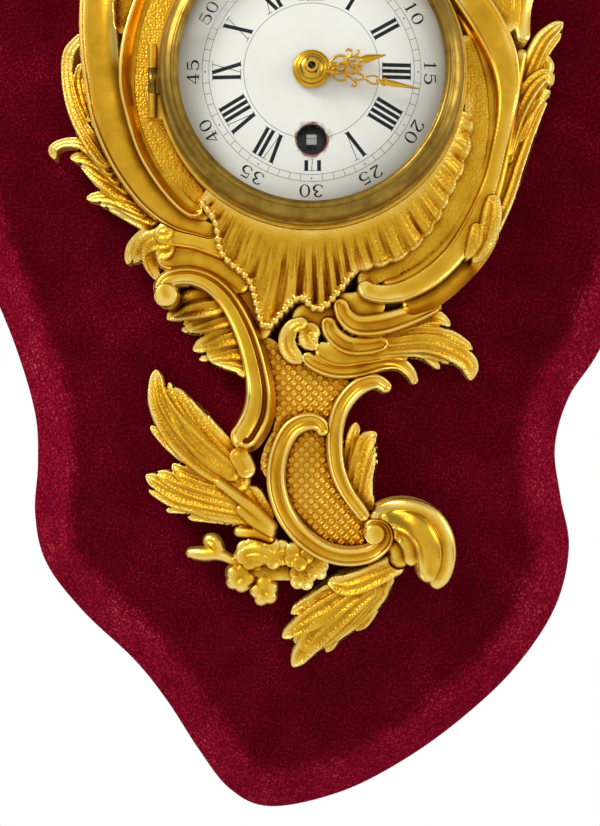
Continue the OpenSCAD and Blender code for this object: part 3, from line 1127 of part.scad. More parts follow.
// Plates, pillars and screws
pillar_radius = back_plate_dia / 2 - 4.5;
pillar_places = [for (a = [45, 125, 235, 315]) pillar_radius * [cos(a), sin(a)]];
pillar_screw_dia = 1.8;
pillar_screw_depth = 5;
bridge_height = inside + 3.4;
bridge_thick = 1.2;
bridge_foot = along(balance_at, 6.5, 135);
module pivot_holes(places, height) {
    for (p = places) at(p) front(height - 1)
        cylinder(h = plate_thick + 2, d = pivot_dia + 2 * running_play);
}
module at_pillars() {
    for (p = pillar_places) at(p) children();
}
train_places = [intermediate_at, third_at, fourth_at, escape_at];
module front_plate() {
    color(BRASS) difference() {
        front(front_plate_height) cylinder(h = plate_thick, d = front_plate_dia);
        pivot_holes(train_places, front_plate_height);
        front(front_plate_height - 1) cylinder(h = 5, d = centre_arbor_dia + 2 * running_play);
        at(barrel_at) front(front_plate_height - 1)
            cylinder(h = 5, d = barrel_arbor_dia + 2 * running_play);
        at_pillars() front(front_plate_height - 1) cylinder(h = 5, d = pillar_screw_dia + 2 * close_play);
        at_feet() front(front_plate_height - 1) cylinder(h = 5, d = foot_dia + 4 * close_play);
        at_lugs() front(front_plate_height - 1) cylinder(h = 5, d = movement_screw_dia + 4 * close_play);
        at(click_at) front(front_plate_height - 1)
            cylinder(h = 5, d = click_hole_dia + 2 * close_play);
        at(minute_at) front(front_plate_height - 1)
            cylinder(h = 5, d = pivot_dia + 2 * running_play);
    }
}
module back_plate() {
    color(BRASS) difference() {
        union() {
            front(back_plate_height) cylinder(h = plate_thick, d = back_plate_dia);
            at(bridge_foot) front(back_plate_height + 1)
                cylinder(h = bridge_height + bridge_thick - back_plate_height - 1, d = 3.6);
            hull() for (p = [bridge_foot, balance_at]) at(p) front(bridge_height)
                cylinder(h = bridge_thick, d = 3.6, $fn = 32);
        }
        pivot_holes(concat([centre_at], train_places), back_plate_height);
        at(barrel_at) front(back_plate_height - 1)
            cylinder(h = plate_thick + 2, d = barrel_arbor_dia + 2 * running_play);
        at(balance_at) front(back_plate_height - 1)
            cylinder(h = plate_thick + 2, d = staff_dia + 1.2);
        at(balance_at) front(bridge_height - 1)
            cylinder(h = 5, d = pivot_dia + 2 * running_play);
        at_pillars() front(back_plate_height - 1)
            cylinder(h = plate_thick + 2, d = pillar_screw_dia + 2 * close_play);
        at_cock_screws() front(back_plate_height - 1)
            cylinder(h = plate_thick + 2, d = cock_screw_dia + 2 * close_play);
    }
}
module pillars() {
    color(BRASS) at_pillars() difference() {
        front(inside + 0.02) cylinder(h = pillar_length - 0.04, d = pillar_dia);
        front(inside - 1) cylinder(h = pillar_screw_depth + 1.5, d = pillar_screw_dia + 2 * close_play);
        front(front_plate_height - pillar_screw_depth - 0.5)
            cylinder(h = pillar_screw_depth + 2, d = pillar_screw_dia + 2 * close_play);
    }
}
screw_head_dia = 3.6;
screw_head = 1;
module plate_screws() {
    color(STEEL) at_pillars() {
        front(back_plate_height - screw_head - 0.02) cylinder(h = screw_head, d = screw_head_dia);
        front(back_plate_height - 0.1) cylinder(h = plate_thick + pillar_screw_depth, d = pillar_screw_dia);
        front(front_plate_height + plate_thick + 0.02) cylinder(h = screw_head, d = screw_head_dia);
        front(front_plate_height - pillar_screw_depth)
            cylinder(h = plate_thick + pillar_screw_depth + 0.1, d = pillar_screw_dia);
    }
}
module movement_screws() {
    color(STEEL) at_lugs() {
        front(front_plate_height + plate_thick + 0.02) cylinder(h = 1.4, d = 4.4);
        front(front_plate_height - lug_thread_depth + 1)
            cylinder(h = plate_thick + lug_thread_depth, d = movement_screw_dia);
    }
}

// Balance with its spring, cock and regulator
balance_level = back_plate_height - 3;
balance_rim = 1.4;
balance_thick = 1;
cock_level = -1.8;
cock_thick = 1.6;
cock_screw_dia = 1.6;
cock_foot = along(balance_at, balance_dia / 2 + 4.5, -35);
cock_screw_places = [for (side = [-1, 1]) along(cock_foot, side * 2.2, 55)];
module at_cock_screws() {
    for (p = cock_screw_places) at(p) children();
}
module balance() {
    color(BRASS) at(balance_at) {
        front(balance_level) difference() {
            cylinder(h = balance_thick, d = balance_dia);
            translate([0, 0, -1]) cylinder(h = 5, d = balance_dia - 2 * balance_rim);
        }
        front(balance_level) rotate([0, 0, 20]) translate([-balance_dia / 2 + 0.5, -0.7, 0])
            cube([balance_dia - 1, 1.4, balance_thick]);
        front(cock_level + cock_thick + 0.3)
            cylinder(h = bridge_height - 0.3 - cock_level - cock_thick - 0.3, d = staff_dia);
        front(cock_level + 0.3) cylinder(h = bridge_height + bridge_thick - cock_level - 0.3, d = pivot_dia);
    }
}
hairspring_turns = 6;
hairspring_inner = 1.3;
hairspring_outer = 4.6;
hairspring_wire = 0.12;
spiral_steps = 16;
function spiral_radius(t) = hairspring_inner + (hairspring_outer - hairspring_inner) * t;
function spiral(offset) = [
    for (i = [0 : hairspring_turns * spiral_steps])
        let (a = 360 * i / spiral_steps, r = spiral_radius(i / (hairspring_turns * spiral_steps)) + offset)
        [r * cos(a), r * sin(a)]
];
hairspring_level = cock_level + cock_thick + 1;
stud_post = [hairspring_outer + 0.3, 0];
module hairspring() {
    color(STEEL) at(balance_at) {
        front(hairspring_level) linear_extrude(0.6)
            polygon(concat(spiral(hairspring_wire), reversed(spiral(-hairspring_wire))));
        front(cock_level + cock_thick + 0.02) translate([stud_post[0], stud_post[1], 0])
            cylinder(h = hairspring_level + 0.6 - cock_level - cock_thick - 0.02, d = 0.9);
    }
}
module balance_cock() {
    color(BRASS) difference() {
        union() {
            hull() for (p = [balance_at, cock_foot]) at(p) front(cock_level)
                cylinder(h = cock_thick, d = p == cock_foot ? 8 : 11, $fn = 32);
            at(cock_foot) front(cock_level + 0.5)
                cylinder(h = back_plate_height - 0.02 - cock_level - 0.5, d = 7.4);
        }
        at(balance_at) front(cock_level - 1)
            cylinder(h = cock_thick + 2, d = pivot_dia + 2 * running_play);
        at_cock_screws() front(cock_level - 1) cylinder(h = 12, d = cock_screw_dia + 2 * close_play);
    }
}
module cock_screws() {
    color(STEEL) at_cock_screws() {
        front(cock_level - 0.82) cylinder(h = 0.8, d = 2.8);
        front(cock_level - 0.1) cylinder(h = inside - cock_level, d = cock_screw_dia);
    }
}
regulator_length = 8.5;
module regulator() {
    color(STEEL) at(balance_at) front(cock_level - 0.85) difference() {
        union() {
            cylinder(h = 0.8, d = 5);
            rotate([0, 0, 145]) translate([0, -0.6, 0]) cube([regulator_length, 1.2, 0.8]);
        }
        translate([0, 0, -1]) cylinder(h = 3, d = pivot_dia + 2 * running_play + 0.2);
    }
}

// Motion work under the dial
module cannon_pinion() {
    color(BRASS) difference() {
        union() {
            front(motion_base) gear(motion_module, cannon_teeth, motion_thick, bearing(centre_at, minute_at));
            front(motion_base) cylinder(h = cannon_top - motion_base, d = cannon_pipe_dia);
        }
        front(motion_base - 1)
            cylinder(h = cannon_top - motion_base + 2, d = centre_arbor_dia + 2 * running_play);
        front(hand_pin_height) rotate([0, 90, hand_pin_turn])
            cylinder(h = 9, d = hand_pin_dia + 2 * close_play, center = true);
    }
}
module minute_wheel() {
    color(BRASS) at(minute_at) {
        front(motion_base) gear(motion_module, minute_teeth, motion_thick,
            gap_turn(centre_at, minute_at, minute_teeth));
        front(motion_base + motion_thick - 0.1) gear(hour_module, minute_pinion_teeth, motion_thick + 0.9,
            bearing(minute_at, centre_at));
        front(front_plate_height + 0.2) cylinder(h = motion_base - front_plate_height, d = pivot_dia);
    }
}
module hour_wheel() {
    color(BRASS) difference() {
        union() {
            front(hour_wheel_height) gear(hour_module, hour_teeth, motion_thick,
                gap_turn(minute_at, centre_at, hour_teeth));
            front(hour_wheel_height)
                cylinder(h = hour_hand_height + hand_thick - hour_wheel_height, d = hour_pipe_dia);
        }
        front(hour_wheel_height - 1) cylinder(h = 20, d = cannon_pipe_dia + 2 * running_play);
    }
}

board();
velvet_cover();
hanging_plate();
hanging_screws();
casting_studs();
stud_nuts();
case_shell();
shell_apron();
left_frame();
right_frame();
left_tail_scroll();
right_acanthus();
inner_scroll();
right_tail_scroll();
tail_volute();
bottom_leaf();
left_leaf_spray();
flower_spray();
tail_panel();
crest_shell();
crest_left_scroll();
crest_right_scroll();
crest_plume();
crest_panel();
bezel_ring();
bezel_glass();
glass_retainer();
hinge_pin();
dial();
dial_pins();
hour_hand();
minute_hand();
hand_collet();
hand_pin();
front_plate();
back_plate();
pillars();
plate_screws();
movement_screws();
barrel();
mainspring();
barrel_arbor();
ratchet_wheel();
click();
click_screw();
click_spring();
intermediate_wheel();
centre_wheel();
third_wheel();
fourth_wheel();
escape_wheel();
balance();
hairspring();
balance_cock();
cock_screws();
regulator();
cannon_pinion();
minute_wheel();
hour_wheel();
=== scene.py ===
import math

import bpy
import numpy as np
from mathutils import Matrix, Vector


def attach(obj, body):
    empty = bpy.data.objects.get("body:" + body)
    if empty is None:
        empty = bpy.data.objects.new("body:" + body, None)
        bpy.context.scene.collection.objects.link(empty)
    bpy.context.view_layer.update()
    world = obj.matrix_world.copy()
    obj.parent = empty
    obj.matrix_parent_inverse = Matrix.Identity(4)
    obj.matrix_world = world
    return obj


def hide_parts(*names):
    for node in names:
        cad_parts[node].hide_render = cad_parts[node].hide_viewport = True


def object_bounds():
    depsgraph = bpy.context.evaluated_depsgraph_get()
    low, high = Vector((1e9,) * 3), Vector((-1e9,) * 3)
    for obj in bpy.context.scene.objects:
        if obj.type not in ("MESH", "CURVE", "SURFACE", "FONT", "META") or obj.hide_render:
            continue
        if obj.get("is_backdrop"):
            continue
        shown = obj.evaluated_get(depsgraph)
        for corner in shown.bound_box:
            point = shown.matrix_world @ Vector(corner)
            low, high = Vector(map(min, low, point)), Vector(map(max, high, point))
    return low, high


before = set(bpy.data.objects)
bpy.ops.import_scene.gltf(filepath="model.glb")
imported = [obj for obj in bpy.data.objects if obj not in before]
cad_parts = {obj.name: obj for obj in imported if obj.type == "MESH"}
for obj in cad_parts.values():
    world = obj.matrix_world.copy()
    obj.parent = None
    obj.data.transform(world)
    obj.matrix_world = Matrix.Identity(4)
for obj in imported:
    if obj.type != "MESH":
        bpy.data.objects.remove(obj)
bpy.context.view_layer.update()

MM = 0.001
FACE = 19.2          # depth of the velvet's front before the board's rear face, mm
CASE_RADIUS = 50.5
GAP = 0.12           # between neighbouring castings, mm
PITCH = 0.25         # spacing of the relief's points, mm
GRID_X, GRID_Z = -100.0, -205.0      # corner of the grid that all castings share, and its size, mm
GRID_WIDE, GRID_TALL = 200, 410
OUTSIDE, FAR = -9.0, 99.0            # distance inside an empty relief, and its base
SEAT = .1                            # height of a full casting's rear over the velvet, mm
THINNEST = .5                        # least thickness of a stroke, mm
END_CUT, SHORTEST = .42, .3          # what a stroke's ends give up, in widths, and the share that stays
TIP_LONG, TIP_POWER, TIP_BLUNT = 1.3, .55, .15       # form of a leaf's tip
CRISP = .15                          # how far shapes run into each other, if nothing else is said, mm
THIN_EDGE = .4                       # least thickness of a casting, mm
ALL = slice(None), slice(None)

# Relief strokes: profile, depth (0 reaches the velvet), knots (x, z, height over the velvet, width), in mm
LEFT_FRAME = [
    ("cove", 0, [(-24,75,25,4), (-30,78.5,26,6), (-40,77,26,7), (-52,68,27,8), (-62,55,28,10),
        (-68.5,40,29,12), (-70.5,25,30,12), (-70,10,30,13), (-68.5,-2,29,13), (-66.5,-12,29,13),
        (-63,-22,27,12), (-58.5,-30.5,26,11), (-52.5,-38.5,25,10), (-45,-45,24,8), (-38,-48,23,6),
        (-32,-50,22,5)]),
    ("ridge", 0, [(-10,60,33,5), (-21,58.5,33,6), (-33,53,33,6), (-44,43.5,33,6.5), (-52,30,33,7),
        (-57,15,34,8), (-59,0,34,8), (-57.5,-12,33,7), (-54,-23.5,32,6.5), (-49,-32.5,31,6),
        (-43.5,-39.5,30,5.5), (-39,-43,29,5), (-36,-42,28,4)]),
    ("ground", 0, [(-44,30,30,10), (-51,18,31,8), (-54,4,31,7), (-54,-8,31,7), (-50.5,-19,30,8),
        (-46,-28,29,8), (-40,-37,27,8), (-34,-45,24,8)]),
    ("ground", 0, [(-62,16,25,6), (-61,30,25,9), (-55,46,25,11), (-45,57,25,12), (-32,65,25,12)]),
    ("ground", 0, [(-34,69,24,10), (-20,68,24,9), (-10,66,24,7)]),
    ("leaf", 9, [(-76.5,17,19,3), (-81.5,12,17,4), (-82.5,5,16,4), (-81,-4,17,4.5), (-78,-12,18,5),
        (-73,-20,19,6), (-68,-27,19,6)]),
    ("leaf", 8, [(-77,8,17,3), (-78.5,3,16,4), (-77,-4,17,4), (-74,-12,19,4)]),
    ("leaf", 7, [(-66,-29,18,6), (-72,-22.5,16,6), (-78,-18.5,14,4), (-84,-18,13,3), (-88,-20,12,3),
        (-87.5,-23,11,2)]),
    ("leaf", 6, [(-63,-32,18,6), (-70,-26,15,6), (-76,-23,12,5), (-82,-22.5,10,3)]),
    ("leaf", 6, [(-60,-35,18,6), (-66,-31,15,5), (-72,-28,12,4), (-77,-26,10,1.6)]),
    ("leaf", 7, [(-54,-42,18,7), (-62,-38,15,7), (-69,-36,12,5), (-76.5,-36.5,10,2.4)]),
    ("leaf", 7, [(-51,-45,18,6), (-59,-42,15,5), (-66,-39,12,3.6), (-72,-38.5,10,1.6)]),
    ("lamina", 6, [(-58,-37,15,12), (-68,-29.5,13,12), (-77,-22.5,10.5,7)]),
    ("lamina", 6, [(-50,-46,15,11), (-60,-41,12.5,9), (-69,-38,10.5,5)]),
]
RIGHT_FRAME = [
    ("band", 0, [(2,60,31,5), (13,58.5,31,7), (24,54,31,9), (35,46.5,31,10), (44.5,37,30,11), (52,27,30,11),
        (58.5,17,30,11), (63,7,30,10), (64.8,-3,29,8), (64,-12,29,6), (62,-22,28,5), (60,-31,27,5),
        (57,-40,27,6), (53,-49,26,7), (47.5,-57.5,26,7), (40,-64.5,25,7), (31.5,-69,24,6.5),
        (24,-70.3,24,6), (18.5,-69,24,5.5), (18,-66.5,25,4.5)]),
    ("bead", 0, [(49,24,27,4), (54,14,27,4), (57.8,4,27,4.5), (59.6,-6,27,4.5), (59.4,-16,27,4),
        (57.8,-26,26,4), (54.8,-36,26,4), (50.3,-46,25,4), (44.5,-54.5,24,4), (37.5,-61,23,4),
        (30,-65.5,22,3.6), (24,-67,22,2.6)]),
    ("ground", 0, [(50,14,27,6), (53.5,2,28,7), (54.5,-10,28,8), (53.5,-22,27,9), (49.5,-34,26,10),
        (43.5,-45,25,10), (36,-54,23,9), (28,-60.5,21,7), (21,-64,20,6), (16,-66.5,19,7)]),
    ("cove", 0, [(34,79,25,4), (37.5,82,25,6), (46,77,25,7), (55,69,25,8), (63,59,25,9), (68.5,47,24,9),
        (70.5,34,24,8.5), (70,23,23,6), (71,14,22,4)]),
    ("ground", 0, [(65,18,23,8), (62.5,32,23,13), (54,46,23,13), (44,58,23,13), (32,66,23,12),
        (18,67,23,9)]),
    ("bead", 0, [(71,12,20,4), (68.5,2,22,5), (67,-8,22,5), (65,-20,22,5), (62.5,-32,22,5),
        (59.5,-43,22,5)]),
    ("leaf", 8, [(66,-14,20,6), (70,-4,18,6), (74,7,16,6), (79,17,14,6), (85.5,23,12,3.6)]),
    ("leaf", 7, [(67,-12,19,5), (72.5,1,16,5), (78,11.5,13,5), (85,20,11,3)]),
    ("leaf", 9, [(65,-24,21,5), (68.5,-11,20,6), (73.5,-1,19,6.5), (79,4,17,5), (81.5,1.5,15,4)]),
    ("leaf", 8, [(65,-26,19,5), (70,-13,17,5), (75.5,-5,15,5), (81,-0.5,13,3)]),
    ("leaf", 8, [(59,-52,18,6), (65.5,-38,17,6), (70,-25,15,6), (75,-12,13,5), (80,-2,11,3)]),
    ("cove", 8, [(61,-47,18,7), (56,-56,18,8), (49,-64,18,8), (41,-70.5,18,8), (31,-74.5,18,7)]),
    ("leaf", 9, [(60,-38.5,29,4), (59.5,-45,29,7), (58,-53,27,6), (54,-60,24,3)]),
    ("leaf", 8, [(54.5,-47.5,28,3), (54,-53,28,5), (51.5,-59,26,2)]),
    ("lamina", 7, [(67,-18,17,9), (73,-2,15,12), (80,11,12,8)]),
    ("lamina", 7, [(62,-40,16,9), (67.5,-26,14,10), (73,-12,12,8)]),
]
LEFT_TAIL = [
    ("moulding", 0, [(-48,-71,25,6), (-50,-68,26,5), (-46.5,-65,26,6), (-40,-64.2,25,6.4),
        (-33.5,-66.5,24,7), (-28,-71.5,23,7.5), (-23.5,-79,22,8), (-20.3,-87,21,8.4), (-18,-96,20,9),
        (-17,-104,20,10), (-18,-111,19,11), (-21,-117,19,11), (-25,-121.5,18,10.5)]),
    ("eye", 0, [(-52,-72,24,2), (-48,-71,27,8), (-44.5,-70,24,3)]),
    ("band", 0, [(-52,-50.5,24,6), (-45,-51,24,7), (-37,-52.5,24,7), (-25,-57,23,7)]),
    ("cove", 0, [(-51.5,-57.5,22,9), (-44,-58,22,9), (-36,-59,22,8), (-28.5,-62.5,21,7), (-22,-69,20,5)]),
    ("leaf", 8, [(-46,-50,25.5,6), (-53,-49.8,22,6), (-60,-53.5,16,4.5), (-62.5,-59,12,2.4)]),
    ("leaf", 7, [(-46,-55,25,8), (-53,-55.5,20,8), (-54,-60,14,5), (-52,-64.5,12,2)]),
    ("leaf", 7, [(-46,-52.5,25,6), (-55,-53,20,7), (-60,-58.5,13,3)]),
    ("leaf", 6, [(-29,-72.5,20,8), (-36,-72.5,18,11), (-43,-74,14,9), (-49,-77.8,10,2)]),
    ("leaf", 6, [(-26,-77,19,7), (-33,-78.5,16,7), (-39,-80.3,12,5), (-44,-81.6,9,2)]),
    ("leaf", 6, [(-22,-83,18,8), (-28,-83.5,16,8), (-35,-86,12,6), (-40,-88.3,9,4)]),
    ("leaf", 6, [(-20,-89,18,8), (-26,-88.5,15,7), (-32,-90.3,12,4), (-38,-91.6,9,1.6)]),
    ("leaf", 6, [(-19,-97,17,7), (-24,-94,15,6), (-30,-92.8,12,4), (-35,-92,9,1.6)]),
    ("lamina", 0, [(-26,-122.5,15,7), (-23,-127,15,6.5), (-21,-132,14,6)]),
    ("lamina", 5, [(-25,-76,15,11), (-34,-77.5,12.5,12), (-42,-79,10,7)]),
    ("lamina", 5, [(-19,-92,14,13), (-27,-88.5,12.5,13), (-34,-90,10,7)]),
    ("plain", 0, [(-33,-63,18,8), (-23,-70,18,10), (-16,-84,15,8)]),
]
ACANTHUS = [
    ("scroll", 0, [(9.5,-72,22,5), (11,-77,22,6), (15.5,-80.5,22,7), (23,-80.3,22,7.5), (31,-78,21,7),
        (38,-75.5,20,5.5), (43.5,-73.5,18,3)]),
    ("scroll", 0, [(5.5,-78,20,5), (7,-83,20,6), (12,-87,20,6.5), (19,-87.5,20,6), (26,-86,19,5)]),
    ("scroll", 0, [(-2.5,-90,18,4), (1,-93,18,5), (8,-95.3,18,6), (16,-95,17,6), (24,-92.8,15,6),
        (30,-93,12,5), (34,-96,10,4), (36,-100,8,2.4)]),
    ("cove", 0, [(2,-88,19,6), (9,-91.3,19,6), (18,-91,18,5), (27,-89.8,15,4.5), (33,-91,12,3)]),
    ("leaf", 0, [(-1.5,-79.5,21,4), (-6,-81,21,5), (-8,-85,20,6), (-7,-89.5,19,6), (-3,-92.5,18,5)]),
    ("leaf", 0, [(1,-80,20,7), (-1,-85,20,7), (2,-88,19,6)]),
    ("leaf", 7, [(18,-83.5,19,5), (28,-80.8,17,6), (37,-78,14,6), (43,-77.5,12,5), (47.5,-80,10,2)]),
    ("leaf", 6, [(16,-85.3,18,5), (28,-82.8,16,5), (38,-80.7,13,5), (46,-82.2,10,2)]),
    ("leaf", 6, [(14,-87,19,5), (26,-85,17,6), (38,-83.5,14,6), (47,-84.5,12,6), (55,-88,9,3)]),
    ("leaf", 6, [(18,-88.5,18,5), (30,-87,16,6), (40,-86.5,14,7), (48,-89,12,7), (54,-93,10,6.5),
        (55,-98.3,8,3.4)]),
    ("leaf", 6, [(22,-89.5,17,5), (32,-88.5,14,5), (39,-90,11,4), (44,-94.6,9,2)]),
    ("lamina", 6, [(20,-86,16,12), (36,-84.5,13,13), (50,-90,9.5,8)]),
    ("plain", 0, [(-5,-79,16,8), (7,-75.5,17,11), (24,-73.5,18,9)]),
]
INNER_SCROLL = [
    ("scroll", 0, [(4.5,-117.5,18,4), (3,-114,19,5), (-1,-112.8,20,6), (-6.5,-115.5,20,6.4),
        (-10.2,-122,20,6.4), (-11.8,-130,20,6.4), (-11,-138,20,6.4), (-7.6,-146,20,6.4), (-2,-152.4,20,6.4),
        (5,-156.8,20,6.4), (12.5,-158.4,20,6.4), (20,-157.2,20,6), (25,-153,20,5), (24.5,-148.6,21,4.4),
        (21,-147.4,21,4), (18.8,-149.6,21,4)]),
    ("eye", 0, [(17.8,-150.5,20,5), (21.3,-150.5,22,7), (24.6,-150.5,20,5)]),
]
RIGHT_TAIL = [
    ("scroll", 0, [(26.5,-102.3,16,4), (22,-99.5,18,5), (16,-101.4,19,6), (11,-107,19,6), (8.5,-114,19,5.6),
        (8,-121,19,5.6), (8.9,-129,19,5.4), (12,-136.5,19,5), (16.4,-142.6,19,4.6), (19,-146,19,4)]),
    ("leaf", 5, [(12,-137,14,5), (13,-127,13,6), (14.5,-119,11,5), (15.5,-113.5,9,2.4)]),
    ("leaf", 5, [(14,-139,14,5), (16,-128,13,6), (18.8,-120,12,6.5), (22,-117,10,4)]),
    ("leaf", 5, [(16,-140,13,4), (18.3,-129.5,12,4.6), (20,-124,10,4), (22.5,-121.6,8,1.6)]),
    ("leaf", 5, [(18,-141,13,4), (19.3,-134,11,4), (20.5,-129,10,3), (22.5,-126,8,1.6)]),
    ("leaf", 5, [(19.5,-144,13,5), (19.5,-138,12,4), (20.3,-132,10,2)]),
    ("lamina", 5, [(14,-140,12,7), (16.5,-129,11,11), (18.5,-120,9,8)]),
]
VOLUTE = [
    ("roll", 14, [(20,-144.5,20,4), (27,-141.8,24,6), (34,-142,26,7), (40,-145,26,7), (44,-151,26,6.6),
        (45,-158,25,6.4), (43.6,-164.5,23,6), (41,-168,20,4)]),
    ("roll", 18, [(23,-146,21,5), (29.5,-145.5,26,8), (35,-148,29,9), (38.5,-153.5,29,9), (39.3,-160,27,8),
        (38.5,-166,22,5)]),
    ("roll", 16, [(26.5,-149,20,5), (31,-150.5,25,7), (33.4,-155,25,6), (33.4,-161,21,4)]),
    ("bead", 0, [(28,-153,18,6), (30,-157,18,8), (29,-162,16,6)]),
]
BOTTOM_LEAF = [
    ("leaf", 7, [(31,-160,16,7), (22,-164.5,18,8), (13,-168,17,8), (6,-167.5,14,5)]),
    ("leaf", 6, [(20,-165.5,17,7), (10,-170,15,8), (3,-173.5,12,7), (-6.5,-178.6,9,3)]),
    ("leaf", 6, [(20,-167,17,7), (10,-174,15,8), (0,-180.5,12,8), (-9.5,-187,8,3)]),
    ("leaf", 6, [(21,-168,17,7), (10.5,-178,15,8), (1,-187,11,9), (-6,-197,7,4)]),
    ("leaf", 6, [(22,-168,16,6), (12.5,-179,14,7), (5,-187,10,6), (0.3,-192,7,2.6)]),
    ("leaf", 6, [(23,-168,16,6), (15.5,-178,13,6), (9,-185,10,5.6), (5.5,-192,7,3)]),
    ("leaf", 6, [(24,-167,15,5), (17.5,-177,12,5), (12,-183,10,4), (9,-188,7,1.6)]),
    ("leaf", 6, [(25,-165,15,6), (21.5,-174,12,6), (18.3,-180,10,6), (15.6,-184.4,8,3.6)]),
    ("leaf", 6, [(27,-163,15,5), (24.4,-171,12,4.4), (21,-178,9,1.6)]),
    ("lamina", 6, [(24,-166,14,13), (9,-177,12,19), (-3,-189,8.5,10)]),
]
LEFT_LEAVES = [
    ("leaf", 4, [(-22,-135,14,8), (-35,-126.5,13,11), (-45.5,-116.5,11,11), (-52,-106,9,8),
        (-53.3,-95.5,7,3.4)]),
    ("leaf", 4, [(-25,-132,14,6), (-36.5,-122.5,12,8), (-44,-113,10,6), (-48,-105,8,4), (-48.6,-99.8,7,2)]),
    ("leaf", 4, [(-27,-130,13,6), (-37,-120,11,6), (-43,-111,9,5), (-45.7,-103.2,7,1.6)]),
    ("leaf", 4, [(-26,-129,13,6), (-34.5,-121,11,7), (-38.3,-114,9,5), (-39.4,-107.2,7,2)]),
    ("leaf", 4, [(-25,-129,12,5), (-32.8,-121,11,5), (-35.8,-115,9,3), (-36.4,-109.7,7,1.4)]),
    ("leaf", 4, [(-24,-130,12,5), (-31.4,-122.5,11,4), (-34,-118,9,3), (-34.2,-114.8,7,2)]),
    ("leaf", 4, [(-28,-132.5,13,6), (-39.5,-126,11,7), (-48,-120,9,6), (-55,-114.8,7,2)]),
    ("leaf", 4, [(-20,-139.5,14,7), (-33,-135,12,7), (-43.5,-131,10,6), (-47.2,-127.8,8,3)]),
    ("leaf", 4, [(-19,-141,14,7), (-34,-137.6,12,7), (-45,-134,10,6), (-52.5,-130.6,8,4)]),
    ("leaf", 4, [(-18,-142.5,14,7), (-33,-140,12,7), (-46,-137,10,7), (-56.4,-131.7,7,4.4)]),
    ("leaf", 4, [(-18,-144,13,6), (-33,-142.2,11,6), (-46,-140.5,9,5), (-55.5,-136.8,7,1.6)]),
    ("leaf", 4, [(-18,-146,13,6), (-29,-144,11,6), (-40,-143,9,4), (-49.6,-143.6,7,1.6)]),
    ("leaf", 4, [(-18,-147,12,5), (-29,-145.8,10,5), (-42,-145.8,8,2.4)]),
    ("stem", 5, [(-32.5,-132.6,16,3), (-26,-137.5,17,3.4), (-19,-143,17,4), (-12,-150,16,4)]),
    ("stem", 5, [(-25.5,-141.5,15,3.4), (-19,-147,16,4), (-12,-151.5,16,4)]),
    ("stem", 5, [(-26,-150.5,13,3.4), (-19,-151,14,4), (-12,-153,15,4)]),
    ("ground", 0, [(-22,-136,12,9), (-19,-142,12,9), (-15,-148,12,9)]),
    ("lamina", 4, [(-24,-133,12,13), (-39,-119,10.5,17), (-49,-103,7.5,8)]),
    ("lamina", 4, [(-20,-143,12,12), (-37,-138.5,10.5,14), (-51,-134,8,7)]),
]
CREST_LEFT = [
    ("scroll", 0, [(-28,79,20,6), (-37,88,22,8), (-40,101,22,8), (-35.5,113,22,8), (-25.5,120,22,7),
        (-15,119.5,22,6), (-9.5,113,21,5), (-12.5,107,20,4)]),
    ("leaf", 6, [(-37,94,18,7), (-47,99,15,8), (-56,107,12,6), (-61,119,9,2.4)]),
    ("leaf", 6, [(-38,101,17,6), (-46,108,14,7), (-52,118,11,5), (-54,130,8,2)]),
    ("leaf", 6, [(-36,109,17,6), (-42,116,14,6), (-44,126,11,4), (-43,136,8,2)]),
]
CREST_RIGHT = [
    ("scroll", 0, [(34,82,20,6), (43,92,22,8), (47.5,105,22,8), (46,118,22,8), (39.5,126,22,7),
        (31.5,127,22,6), (27.5,120.5,21,5), (31,115,20,4)]),
    ("leaf", 6, [(45,98,18,7), (56,102,15,8), (65,111,12,6), (69,124,9,2.4)]),
    ("leaf", 6, [(46,107,17,6), (55,113,14,7), (61,124,11,5), (62,137,8,2)]),
    ("leaf", 6, [(45,115,17,6), (52,123,14,6), (55,133,11,4), (54,144,8,2)]),
]
CREST_PLUME = [
    ("leaf", 6, [(8,112,19,8), (8,138,20,10), (12,164,15,9), (18,189,8,3.6)]),
    ("leaf", 6, [(6,112,18,7), (0,138,18,9), (-4,159,13,8), (-4,179,8,3)]),
    ("leaf", 6, [(4,112,18,7), (-8,132,17,8), (-17,147,13,7), (-22,162,8,3)]),
    ("leaf", 6, [(10,112,18,7), (20,138,18,9), (29,156,13,8), (36,172,8,3)]),
    ("leaf", 6, [(12,114,18,7), (28,136,17,8), (40,147,13,7), (49,159,8,3)]),
    ("leaf", 6, [(2,112,17,6), (-13,126,16,7), (-26,134,12,6), (-35,143,8,3)]),
    ("ground", 0, [(7,108,15,10), (7.5,116,15,12), (8,126,15,10)]),
    ("lamina", 5, [(7,112,15,14), (7,130,15,32), (7,146,12,42)]),
]
FLOWERS = [
    ("stem", 5, [(-42.8,-158,9,3), (-37,-158.4,11,5), (-31,-158.6,12,4), (-24,-161.5,13,2.4),
        (-16,-163,13,4)]),
    ("bud", 5, [(-36,-153.6,9,3), (-33.5,-154.5,11,6), (-31,-158.4,12,4)]),
    ("bud", 6, [(-25.5,-160,13,3), (-21,-157.5,16,8), (-16,-157.5,17,8), (-13,-160.5,15,5)]),
    ("bud", 6, [(-27.5,-163.5,11,4), (-25,-165.5,13,8), (-22.5,-167,12,6)]),
    ("bud", 6, [(-17,-173.5,9,4), (-16.5,-170.5,12,8), (-15.5,-165.5,13,5)]),
    ("ground", 0, [(-20,-162,12,7), (-13,-162.5,12,9), (-5,-162.5,12,9), (1,-163,12,7)]),
]
